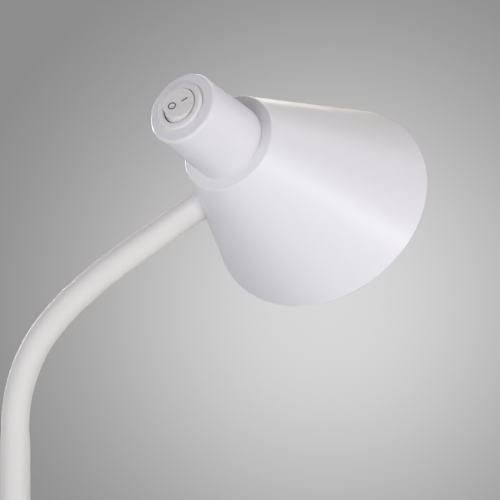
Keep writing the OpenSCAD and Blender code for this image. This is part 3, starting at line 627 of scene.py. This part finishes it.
def wall_rings(line, outer, inner):
    """Rings up the outside of a tube and back down its inside. outer and inner give a radius from a share."""
    last = len(line) - 1
    up = [(place, outer(step / last)) for step, place in enumerate(line)]
    down = [(place, inner(step / last)) for step, place in reversed(list(enumerate(line)))]
    return up + down


def portion_line(portion, start, end, step_len):
    """Frames along part of a portion of the neck, about one step length apart."""
    length = (neck_points[portion + 1] - neck_points[portion]).length * (end - start)
    steps = max(2, round(length / step_len))
    return [neck_frame(portion, start + (end - start) * step / steps) for step in range(steps + 1)]


def bend_line(hinge, step_len):
    """Frames from the middle of the portion before a hinge to the middle of the one after it."""
    return portion_line(hinge - 1, 0.5, 1, step_len)[:-1] + portion_line(hinge, 0, 0.5, step_len)


def bend_over(made):
    """Bakes the piece's place into its mesh. It is not made to follow the bodies that the hinge joins."""
    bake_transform(made)


def ease(share):
    return share * share * (3 - 2 * share)


def sleeve_foot():
    """Sleeve of the stem with its flare, up to the middle of the neck's first portion."""
    low = neck_points[0].z - FLARE_H
    heights = [STEM_SLEEVE_Z + (low - STEM_SLEEVE_Z) * step / 12 for step in range(13)]
    heights += [low + FLARE_H * step / 10 for step in range(1, 10)]
    stem = [(ring_frame(Vector((0, 0, z)), Vector((0, 0, 1))), ease(max(0, (z - low) / FLARE_H)))
            for z in heights]
    neck = [(place, 1) for place in portion_line(0, 0, 0.5, 1)]
    stem_r = STEM_R + SLEEVE_WALL
    up = [(place, stem_r + (SLEEVE_R - stem_r) * share) for place, share in stem + neck]
    down = [(place, SLEEVE_R - SLEEVE_WALL) for place, _ in reversed(neck[1:])]
    down += [(neck[0][0], SLEEVE_R - SLEEVE_WALL), (neck[0][0], STEM_R + FIT), (stem[0][0], STEM_R + FIT)]
    foot = piece("sleeve_foot", skin(up + down, SLEEVE_SIDES))
    dress(foot, "stand", "sleeve_rubber", soft_sleeve, "stem_sleeve")


def sleeve_bends():
    for hinge in range(1, 8):
        line = bend_line(hinge, 1)
        bend = piece(f"sleeve_bend_{hinge}", skin(wall_rings(
            line, lambda share: SLEEVE_R, lambda share: SLEEVE_R - SLEEVE_WALL), SLEEVE_SIDES))
        dress(bend, None, "sleeve_rubber", soft_sleeve, *([f"sleeve_{hinge}"] if hinge < 7 else []))
        bend_over(bend)


def sleeve_tip():
    line = portion_line(7, 0.5, 1, 1)
    short = neck_points[8] - neck_tangents[7] * SLEEVE_RIM
    line[-1:] = [ring_frame(short, neck_tangents[7])]
    rings = wall_rings(line, lambda share: SLEEVE_R, lambda share: SLEEVE_R - SLEEVE_WALL)
    rim = [(ring_frame(short + neck_tangents[7] * SLEEVE_RIM * math.sin(turn), neck_tangents[7]),
            SLEEVE_R - SLEEVE_RIM * (1 - math.cos(turn))) for turn in (math.pi / 6, math.pi / 3, math.pi / 2)]
    rings[len(line):len(line)] = rim + [(rim[-1][0], SLEEVE_R - SLEEVE_WALL)]
    tip = piece("sleeve_tip", skin(rings, SLEEVE_SIDES))
    dress(tip, "head", "sleeve_rubber", soft_sleeve, "head_sleeve")


def coil(name, line, body, nodes):
    """Close-wound core: a tube whose outside is ridged turn by turn."""
    length = sum((b.translation - a.translation).length for a, b in zip(line, line[1:]))
    turns = max(1, round(length / COIL_PITCH))
    made = piece(name, skin(wall_rings(
        line, lambda share: CORE_R - COIL_DEPTH * (0.5 + 0.5 * math.cos(math.tau * turns * share)),
        lambda share: CORE_BORE_R), COIL_SIDES))
    return dress(made, body, "spring_steel", spring, *nodes)


def coils():
    step = COIL_PITCH / 6
    coil("coil_foot", portion_line(0, 0, 0.5, step), "stand", ["stem_core"])
    for hinge in range(1, 8):
        nodes = [f"core_{hinge}"] if hinge < 7 else []
        bend_over(coil(f"coil_bend_{hinge}", bend_line(hinge, step), None, nodes))
    end = 1 - (CORE_PLUG_T + FIT) / TIP_LEN
    coil("coil_tip", portion_line(7, 0.5, end, step), "head", ["head_core"])


sleeve_foot()
sleeve_bends()
sleeve_tip()
coils()

# ---------------------------------------------------------------- shade and neck cover


def shade_r(height, inset=0.0):
    """Radius of the shade's cone at a height above the rear face, with the skin moved inwards."""
    return SHADE_SMALL_R + SHADE_SLOPE * (height - NECK_LEN) - inset


def shade_shell():
    beyond = MOUTH_Z + SHADE_SPARE
    wall = SHADE_WALL * math.sqrt(1 + SHADE_SLOPE ** 2)
    hole_r = SKIRT_R + SLIP
    bm = lathe([
        (hole_r, NECK_LEN), (SHADE_SMALL_R, NECK_LEN, SHADE_EDGE), (shade_r(beyond), beyond),
        (shade_r(beyond, wall), beyond), (shade_r(PLATE_Z, wall), PLATE_Z, 1.2), (hole_r, PLATE_Z)],
        steps=160)
    tilt = Vector((math.sin(MOUTH_TILT), 0, math.cos(MOUTH_TILT)))
    bmesh.ops.bisect_plane(bm, geom=bm.verts[:] + bm.edges[:] + bm.faces[:], plane_co=(0, 0, MOUTH_Z),
                           plane_no=tilt, clear_outer=True)
    loops = [edge for edge in bm.edges if edge.is_boundary]
    bmesh.ops.bridge_loops(bm, edges=loops)
    soften_edges(bm, SHADE_RIM, loops, steps=5)
    shell = piece("shade_shell", bm, HEAD)
    boss = piece("boss", lathe([
        (0, ARM_BOSS_X), (ARM_BOSS_R, ARM_BOSS_X, 0.6), (ARM_BOSS_R, SHADE_MOUTH_R), (0, SHADE_MOUTH_R)],
        closed=False, steps=64, arc_steps=3), ARM)
    cone = lathe([
        (0, NECK_LEN), (shade_r(NECK_LEN, wall / 2), NECK_LEN), (shade_r(MOUTH_Z, wall / 2), MOUTH_Z),
        (0, MOUTH_Z)], closed=False, steps=160)
    carve(boss, cone, HEAD, "INTERSECT")
    carve(shell, taken_back(boss), Matrix.Identity(4), "UNION")
    carve(shell, lathe([(0, SEAT_X), (RECESS_R, SEAT_X), (RECESS_R, SHADE_MOUTH_R), (0, SHADE_MOUTH_R)],
                       closed=False, steps=64), ARM)
    carve(shell, disc(ARM_THREAD_R + SLIP, ARM_BOSS_X - PAST, SEAT_X + PAST), ARM)
    half = HOOK_W / 2 + SLIP
    near, far = HOOK_X - SLIP, HOOK_X + HOOK_T + SLIP
    ledge_z = HOOK_END - HOOK_BARB_H - SLIP
    for turn in HOOK_TURNS:
        place = HEAD @ Matrix.Rotation(math.radians(turn), 4, "Z")
        carve(shell, block((near, -half, NECK_LEN - PAST), (far, half, PLATE_Z + PAST)), place)
        carve(shell, block((near, -half, ledge_z), (far + HOOK_BARB, half, PLATE_Z + PAST)), place)
    dress(shell, "head", "shade_plastic", satin_shade, "shade")


def neck_shell():
    hole_r = SWITCH_R + SLIP
    shell = piece("neck_shell", lathe([
        (hole_r, 0, 0.25), (NECK_REAR_R, 0, NECK_ROUND), (NECK_FRONT_R, NECK_LEN, NECK_LIP),
        (NECK_FRONT_R - NECK_WALL, NECK_LEN), (NECK_REAR_R - NECK_WALL, REAR_WALL, 0.8), (hole_r, REAR_WALL)],
        steps=144, arc_steps=8), HEAD)
    half = HOOK_W / 2
    for turn in HOOK_TURNS:
        place = HEAD @ Matrix.Rotation(math.radians(turn), 4, "Z")
        hook = block((HOOK_X, -half, NECK_LEN - HOOK_ROOT), (HOOK_X + HOOK_T, half, HOOK_END))
        carve(shell, hook, place, "UNION")
        barb = block((HOOK_X + HOOK_T / 2, -half, HOOK_END - HOOK_BARB_H),
                     (HOOK_X + HOOK_T + HOOK_BARB, half, HOOK_END))
        carve(shell, barb, place, "UNION")
    dress(shell, "head", "shade_plastic", satin_shade, "neck_cover")


shade_shell()
neck_shell()


# ---------------------------------------------------------------- switch
def switch_housing():
    housing = piece("switch_housing", lathe([
        (OPENING_R, -BEZEL_T, BEZEL_LIP), (BEZEL_R, -BEZEL_T, BEZEL_ROUND), (BEZEL_R, -FIT, BEZEL_FOOT),
        (SWITCH_R, -FIT), (SWITCH_R, SWITCH_DEPTH, 0.4), (0, SWITCH_DEPTH), (0, LEVER_ROOM_END),
        (LEVER_ROOM_R, LEVER_ROOM_END), (LEVER_ROOM_R, ROOM_END), (ROOM_R, ROOM_END),
        (ROOM_R, OPENING_LIP - BEZEL_T),
        (OPENING_R, OPENING_LIP - BEZEL_T)], steps=128), HEAD)
    across = HEAD @ shift(0, 0, PIVOT_Z) @ Matrix.Rotation(math.pi / 2, 4, "X")
    carve(housing, disc(PIN_R + FIT, -2 * SWITCH_R, 2 * SWITCH_R, steps=32), across)
    half_t, half_w = TAB_T / 2 + FIT, TAB_W / 2 + FIT
    for x in TAB_XS:
        slot = block((x - half_t, -half_w, LEVER_ROOM_END - PAST), (x + half_t, half_w, 2 * SWITCH_DEPTH))
        carve(housing, slot, HEAD)
    dress(housing, "head", "switch_plastic", switch_shell, "switch_body")


def rocker_cap():
    """Ball below and tapered cap above, with a shallow trough across the top and a soft edge around it."""
    low_r = math.sqrt(ROCKER_R ** 2 - ROCKER_LOW ** 2)
    neck_z = -math.sqrt(ROCKER_R ** 2 - ROCKER_CAP_R ** 2)
    turns = [math.asin(ROCKER_LOW / ROCKER_R) * (1 - step / 8) for step in range(8)]
    turns += [math.asin(neck_z / ROCKER_R) * step / 10 for step in range(10)]
    ball = [(ROCKER_R * math.cos(turn), ROCKER_R * math.sin(turn)) for turn in turns]
    lift = HOLLOW_R - math.sqrt(HOLLOW_R ** 2 - ROCKER_CAP_R ** 2)
    top = -ROCKER_TOP - lift
    underside = [(0, ROCKER_LOW), (low_r, ROCKER_LOW)]
    sides = [(ROCKER_CAP_R, neck_z), (ROCKER_CAP_R - ROCKER_DRAFT, top, ROCKER_EDGE), (0, top)]
    cap = piece("rocker_cap", lathe(underside + ball[1:] + sides, closed=False), ROCKER)
    half = 2 * ROCKER_R
    barrel = [(0, -half), (HOLLOW_R, -half), (HOLLOW_R, half), (0, half)]
    trough = lathe(barrel, closed=False, steps=HOLLOW_STEPS)
    carve(cap, trough, ROCKER @ shift(0, 0, -ROCKER_TOP - HOLLOW_R) @ Matrix.Rotation(math.pi / 2, 4, "X"))
    across = ROCKER @ Matrix.Rotation(math.pi / 2, 4, "X")
    carve(cap, disc(PIN_R, SLIP - SWITCH_R, SWITCH_R - SLIP, steps=32), across, "UNION")
    carve(cap, disc(TUBE_R, 0, TUBE_REACH, steps=32), ROCKER, "UNION")
    carve(cap, disc(PLUNGER_R + FIT, 0, TUBE_REACH + PAST, steps=32), ROCKER)
    dress(cap, "rocker", "switch_plastic", switch_shell, "rocker")


def on_face(x):
    """Frame on the rocker's hollow face, x from its middle, with -Z out of the face."""
    turn = math.asin(x / HOLLOW_R)
    middle = ROCKER @ shift(0, 0, -ROCKER_TOP - HOLLOW_R)
    return middle @ Matrix.Rotation(turn, 4, "Y") @ shift(0, 0, HOLLOW_R)


def rocker_marks():
    """A ring and a bar in ink, each lying on its half of the rocker's face."""
    inner, outer = RING_MARK_R - RING_MARK_W / 2, RING_MARK_R + RING_MARK_W / 2
    ring = lathe([(inner, -MARK_PROUD, MARK_EDGE), (outer, -MARK_PROUD, MARK_EDGE), (outer, MARK_T),
                  (inner, MARK_T)], steps=64)
    dress(piece("off_mark", ring, on_face(RING_MARK_X)), "rocker", "switch_plastic", mark_ink)
    half_l, half_w = BAR_MARK[0] / 2, BAR_MARK[1] / 2
    bar = block((-half_l, -half_w, -MARK_PROUD), (half_l, half_w, MARK_T))
    soften_edges(bar, MARK_EDGE)
    dress(piece("on_mark", bar, on_face(BAR_MARK_X)), "rocker", "switch_plastic", mark_ink)


switch_housing()
rocker_cap()
rocker_marks()


# ---------------------------------------------------------------- lampholder, bulb and arm hardware
def lampholder():
    core_r = SKIRT_R - THREAD_DEPTH
    holder = piece("holder_body", lathe([
        (0, HOLDER_REAR), (BARREL_R, HOLDER_REAR, 0.6), (BARREL_R, NECK_LEN - FLANGE_T),
        (FLANGE_R, NECK_LEN - FLANGE_T, 0.3), (FLANGE_R, NECK_LEN - FIT), (core_r, NECK_LEN - FIT),
        (core_r, PLATE_Z), (0, PLATE_Z)], closed=False), HEAD)
    thread = threaded_rod(SKIRT_R, THREAD_DEPTH, THREAD_PITCH, NECK_LEN + PAST, SKIRT_END)
    carve(holder, thread, HEAD, "UNION")
    carve(holder, disc(HOLDER_BORE_R, HOLDER_FLOOR, SKIRT_END + PAST), HEAD)
    half = GROOVE_W / 2
    carve(holder, block((GROOVE_X, -half, HOLDER_REAR - PAST), (SKIRT_R + PAST, half, GROOVE_END)), HEAD)
    half = HOOK_W / 2 + HOOK_PLAY
    rear = NECK_LEN - FLANGE_T - PAST
    for turn in HOOK_TURNS:
        notch = block((HOOK_X - HOOK_PLAY, -half, rear), (FLANGE_R + PAST, half, NECK_LEN))
        carve(holder, notch, HEAD @ Matrix.Rotation(math.radians(turn), 4, "Z"))
    for side in (-1, 1):
        carve(holder, disc(POST_HOLE_R, HOLDER_REAR - PAST, HOLDER_REAR + POST_HOLE_H, steps=32),
              HEAD @ shift(side * POST_AT[0], side * POST_AT[1], 0))
    dress(holder, "head", "holder_plastic", holder_shell_white, "lampholder")


def clamp_ring():
    low, high = PLATE_Z, PLATE_Z + RING_H
    bore = SKIRT_R + FIT
    ring = piece("clamp_ring", lathe([
        (bore, low), (RING_R, low, 0.3), (RING_R, high, 0.8), (bore + RING_MOUTH_W, high, 0.4),
        (bore, high - RING_MOUTH_H)]), HEAD)
    for grip in range(RING_GRIPS):
        turn = Matrix.Rotation((grip + 0.5) * math.tau / RING_GRIPS, 4, "Z")
        carve(ring, disc(RING_GRIP_R, low + RING_GRIP_R, high + PAST, steps=32),
              HEAD @ turn @ shift(RING_R + RING_GRIP_OUT, 0, 0))
    dress(ring, "head", "holder_plastic", holder_shell_white, "holder_ring")


def bulb():
    rim_in = BULB_R - BULB_WALL
    shoulder = BULB_RIM_Z - BULB_RIM_H
    ledge = BULB_RIM_Z - BULB_LEDGE
    neck_r, neck_z = BULB_FOOT_R + BULB_NECK_FLARE, CAP_END + BULB_NECK_H
    shell = piece("bulb_shell", lathe([
        (BULB_FOOT_R - BULB_WALL, CAP_END + FIT), (BULB_FOOT_R, CAP_END + FIT, 0.3),
        (neck_r, neck_z, BULB_NECK_BEND), (BULB_R - 1, shoulder, 1.5), (BULB_R - 0.9, shoulder + 0.7, 0.3),
        (BULB_R, shoulder + 1, 0.4), (BULB_R, BULB_RIM_Z, 0.4), (rim_in, BULB_RIM_Z), (rim_in, ledge),
        (rim_in - BULB_WALL, ledge), (rim_in - BULB_WALL, shoulder + 1),
        (neck_r - BULB_WALL, neck_z, BULB_NECK_BEND)], steps=128), HEAD)
    dress(shell, "head", "bulb_plastic", bulb_white, "bulb_body")
    lens_r = (BULB_R ** 2 + BULB_DOME ** 2) / (2 * BULB_DOME)
    centre = BULB_RIM_Z + BULB_DOME - lens_r
    low = BULB_RIM_Z + FIT
    edge_r = math.sqrt(lens_r ** 2 - (low - centre) ** 2)
    radii = [BULB_R * step / 16 for step in range(16)]
    inner_radii = [min(radius, rim_in) for radius in reversed(radii[:15])]
    crown = [(radius, centre + math.sqrt(lens_r ** 2 - radius ** 2)) for radius in radii]
    inner = [(radius, centre + math.sqrt((lens_r - BULB_WALL) ** 2 - radius ** 2)) for radius in inner_radii]
    rim = [(edge_r, low, 0.3), (rim_in, low)]
    lens = piece("bulb_lens", lathe(crown + rim + inner, closed=False, steps=128), HEAD)
    dress(lens, "head", "diffuser", milky_lens, "bulb_diffuser")
    screw = piece("bulb_screw", threaded_rod(CAP_R, CAP_DEPTH, CAP_PITCH, CAP_REAR, CAP_END, rings=10), HEAD)
    carve(screw, disc(CAP_R - CAP_DEPTH - CAP_T, CAP_REAR - PAST, CAP_END + PAST), HEAD)
    dress(screw, "head", "cap_nickel", nickel, "bulb_cap")


def nuts():
    arm_nut = piece("arm_nut", hex_nut(NUT_AF, NUT_H, ARM_THREAD_R + FIT),
                    ARM @ shift(0, 0, ARM_BOSS_X - WASHER_T - NUT_H))
    dress(arm_nut, "head", "zinc_steel", zinc, "head_nut")
    low, high = (corner.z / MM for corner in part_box("stem_nut"))
    nut = hex_nut(STEM_NUT_AF, high - low, NIPPLE_R + FIT)
    stem_nut = piece("stem_hex_nut", nut, STAND @ shift(0, 0, low))
    dress(stem_nut, "stand", "zinc_steel", zinc, "stem_nut")


lampholder()
clamp_ring()
bulb()
nuts()

# ---------------------------------------------------------------- finishes of the nodes that stay
NODE_FINISHES = {
    zinc: ["base_plate", "stem_washer", "stem_nipple", "lower_ferrule", "upper_ferrule", "head_washer"],
    spring: ["stem_tube", "plunger"],
    cast_iron: ["ballast"],
    brass: ["block_screws", "holder_shell", "holder_contact", "holder_terminals", "switch_terminals",
            "contact_lever"],
    wire_skin: ["stem_lead", "head_leads", "link_wire"] + [f"lead_{k}" for k in range(1, 7)],
    holder_shell_white: ["terminal_block"],
    black_glass: ["bulb_contact"],
    board_white: ["bulb_board"],
}
for kept_finish, names in NODE_FINISHES.items():
    for name in names:
        for material_slot in frame["nodes"][name].material_slots:
            material_slot.material = kept_finish

# ---------------------------------------------------------------- camera
CAMERA_AT = Vector((0.5973, -1.2643, 0.3094))
CAMERA_AIM = Vector((-0.3547, 0.935, 0.0027)).normalized()
CAMERA_RIGHT = CAMERA_AIM.cross(Vector((0, 0, 1)))
CAMERA_LENS = 214.2
CAMERA_SENSOR = 36

camera_data = bpy.data.cameras.new("camera")
camera_data.lens = CAMERA_LENS
camera_data.sensor_width = CAMERA_SENSOR
camera = bpy.data.objects.new("camera", camera_data)
camera.location = CAMERA_AT
camera.rotation_mode = "QUATERNION"
camera.rotation_quaternion = CAMERA_AIM.to_track_quat("-Z", "Y")
bpy.context.scene.collection.objects.link(camera)
bpy.context.scene.camera = camera

# ---------------------------------------------------------------- stage
# In metres. Levels are shades, and the glow's centre and spread are slopes seen from one fixed point.
STAGE_R = 4
STAGE_COVE = 2
STAGE_TOP = 5
GLOW_FROM = Vector((0.6010, -1.2742, 0.3123))
GLOW_AWAY = Vector((-0.3547, 0.935, 0)).normalized()
GLOW_CENTRE = (0.026, -0.0159)
GLOW_SPREAD = 0.0606
GLOW_NEAR = 3.5
WALL_LEVEL = 0.2155
GLOW_LEVEL = 0.4711
GLOW_FLOOR = 0.2664
SIDE_LEVEL = 0.42
SIDE_FADE = (1.8, 3.4)
NEAR_FLOOR = (0.5, 1.6)
STAGE_PAINT = (0.55, 0.55, 0.55, 1)


def stage():
    """Round pale studio: a flat floor that turns up into a wall, with a soft glow on it."""
    bm = bmesh.new()
    outline(bm, [(0, 0), (STAGE_R, 0, STAGE_COVE), (STAGE_R, STAGE_TOP)], False, 24)
    spin_round(bm, 96)
    studio = piece("studio", bm, Matrix.Identity(4))
    made = bpy.data.materials.new("studio_paint")
    made.use_nodes = True
    tree = made.node_tree
    tree.nodes.clear()
    where = add_node(tree, "ShaderNodeTexCoord").outputs["Object"]
    # Fixed axes of the glow: X across, Y away from a fixed point and Z up
    turn = Matrix.Rotation(math.atan2(GLOW_AWAY.x, GLOW_AWAY.y), 4, "Z")
    axes = add_node(tree, "ShaderNodeMapping", {
        "Vector": where, "Location": -(turn @ GLOW_FROM), "Rotation": turn.to_euler()}).outputs["Vector"]
    apart = add_node(tree, "ShaderNodeSeparateXYZ", {0: axes}).outputs
    depth = maths(tree, "MAXIMUM", apart["Y"], GLOW_NEAR)
    across = maths(tree, "SUBTRACT", maths(tree, "DIVIDE", apart["X"], depth), GLOW_CENTRE[0])
    above = maths(tree, "SUBTRACT", maths(tree, "DIVIDE", apart["Z"], depth), GLOW_CENTRE[1])
    across_square = maths(tree, "MULTIPLY", across, across)
    square = maths(tree, "ADD", across_square, maths(tree, "MULTIPLY", above, above))
    fall = maths(tree, "EXPONENT", maths(tree, "DIVIDE", square, -2 * GLOW_SPREAD ** 2))
    level = maths(tree, "MAXIMUM", maths(tree, "MULTIPLY_ADD", fall, GLOW_LEVEL, WALL_LEVEL), GLOW_FLOOR)
    ahead = add_node(tree, "ShaderNodeMapRange", {
        "Value": apart["Y"], "From Min": SIDE_FADE[0], "From Max": SIDE_FADE[1], "To Min": SIDE_LEVEL,
        "To Max": level}, interpolation_type="SMOOTHSTEP")
    level = ahead.outputs["Result"]
    light_path = add_node(tree, "ShaderNodeLightPath").outputs
    seen = maths(tree, "MAXIMUM", light_path["Is Camera Ray"], light_path["Is Glossy Ray"])
    seen = maths(tree, "MAXIMUM", seen, light_path["Is Transmission Ray"])
    floor_away = add_node(tree, "ShaderNodeVectorMath", {0: where}, operation="LENGTH").outputs["Value"]
    far = add_node(tree, "ShaderNodeMapRange", {"Value": floor_away, "From Min": NEAR_FLOOR[0],
                                                "From Max": NEAR_FLOOR[1]}, interpolation_type="SMOOTHSTEP")
    share = maths(tree, "MULTIPLY", seen, far.outputs["Result"])
    paint = add_node(tree, "ShaderNodeBsdfDiffuse", {"Color": STAGE_PAINT})
    glow = add_node(tree, "ShaderNodeEmission", {"Color": level})
    both = add_node(tree, "ShaderNodeMixShader", {"Fac": share, 1: paint.outputs[0], 2: glow.outputs[0]})
    add_node(tree, "ShaderNodeOutputMaterial", {"Surface": both.outputs[0]})
    studio.data.materials.append(made)


stage()

# ---------------------------------------------------------------- light
HEAD_CENTRE = HEAD @ Vector((0, 0, NECK_LEN + SHADE_LEN / 2))
PLAIN_LIGHT = (1, 1, 1)
WARM_LIGHT = (1, 0.965, 0.90)
COOL_LIGHT = (0.88, 0.95, 1)
# Name, turn to the right of the camera's side, rise in degrees, distance, width, height, power and colour
LAMPS = (
    ("low_key", 33, -13, 0.95, 0.20, 0.15, 0.41, PLAIN_LIGHT),
    ("low_front", 25, -17, 0.8, 0.30, 0.15, 0.395, PLAIN_LIGHT),
    ("low_right", 70, -13, 0.95, 0.40, 0.20, 0.69, PLAIN_LIGHT),
    ("low_left", -50, -13, 0.95, 0.40, 0.20, 0.19, COOL_LIGHT),
    ("front_left", -35, 5, 1.3, 0.6, 0.6, 6.15, PLAIN_LIGHT),
    ("side_left", -90, 20, 1.6, 0.8, 0.8, 1.6, PLAIN_LIGHT),
    ("back_left", -135, 8, 1.3, 0.4, 0.5, 2.0, PLAIN_LIGHT),
    ("rim_left", -155, 5, 1.3, 0.3, 0.4, 4.0, PLAIN_LIGHT),
    ("back_right", 110, 10, 1.3, 0.5, 0.5, 1.0, PLAIN_LIGHT),
    ("behind", 180, 32, 1.4, 0.45, 0.25, 3.0, WARM_LIGHT),
    ("high_right", 60, 58, 1.6, 0.8, 0.8, 4.2, WARM_LIGHT),
    ("top_right", 95, 50, 1.5, 0.6, 0.6, 1.9, WARM_LIGHT),
    ("high_back", 160, 60, 1.5, 0.6, 0.6, 6.2, WARM_LIGHT),
)
# The low lamps shine ahead only, so that the floor under them stays plain
LOW_SPREAD = math.radians(100)
AIR_COLOUR = (0.9, 0.92, 1.0, 1)
AIR_STRENGTH = 0.04


def area_lamp(name, turn, rise, distance, width, height, power, colour):
    data = bpy.data.lights.new(name, "AREA")
    data.shape = "RECTANGLE"
    data.size = width
    data.size_y = height
    data.energy = power
    data.color = colour
    if rise < 0:
        data.spread = LOW_SPREAD
    lamp = bpy.data.objects.new(name, data)
    turn, rise = math.radians(turn), math.radians(rise)
    out = (CAMERA_RIGHT * math.sin(turn) - CAMERA_AIM * math.cos(turn)) * math.cos(rise)
    out.z = math.sin(rise)
    lamp.location = HEAD_CENTRE + out * distance
    lamp.rotation_mode = "QUATERNION"
    lamp.rotation_quaternion = out.to_track_quat("Z", "Y")
    lamp.visible_camera = False
    bpy.context.scene.collection.objects.link(lamp)


for lamp_row in LAMPS:
    area_lamp(*lamp_row)

world = bpy.data.worlds.new("studio_air")
world.use_nodes = True
air = world.node_tree.nodes["Background"].inputs
air["Color"].default_value = AIR_COLOUR
air["Strength"].default_value = AIR_STRENGTH
bpy.context.scene.world = world
bpy.context.scene.view_settings.view_transform = "Standard"
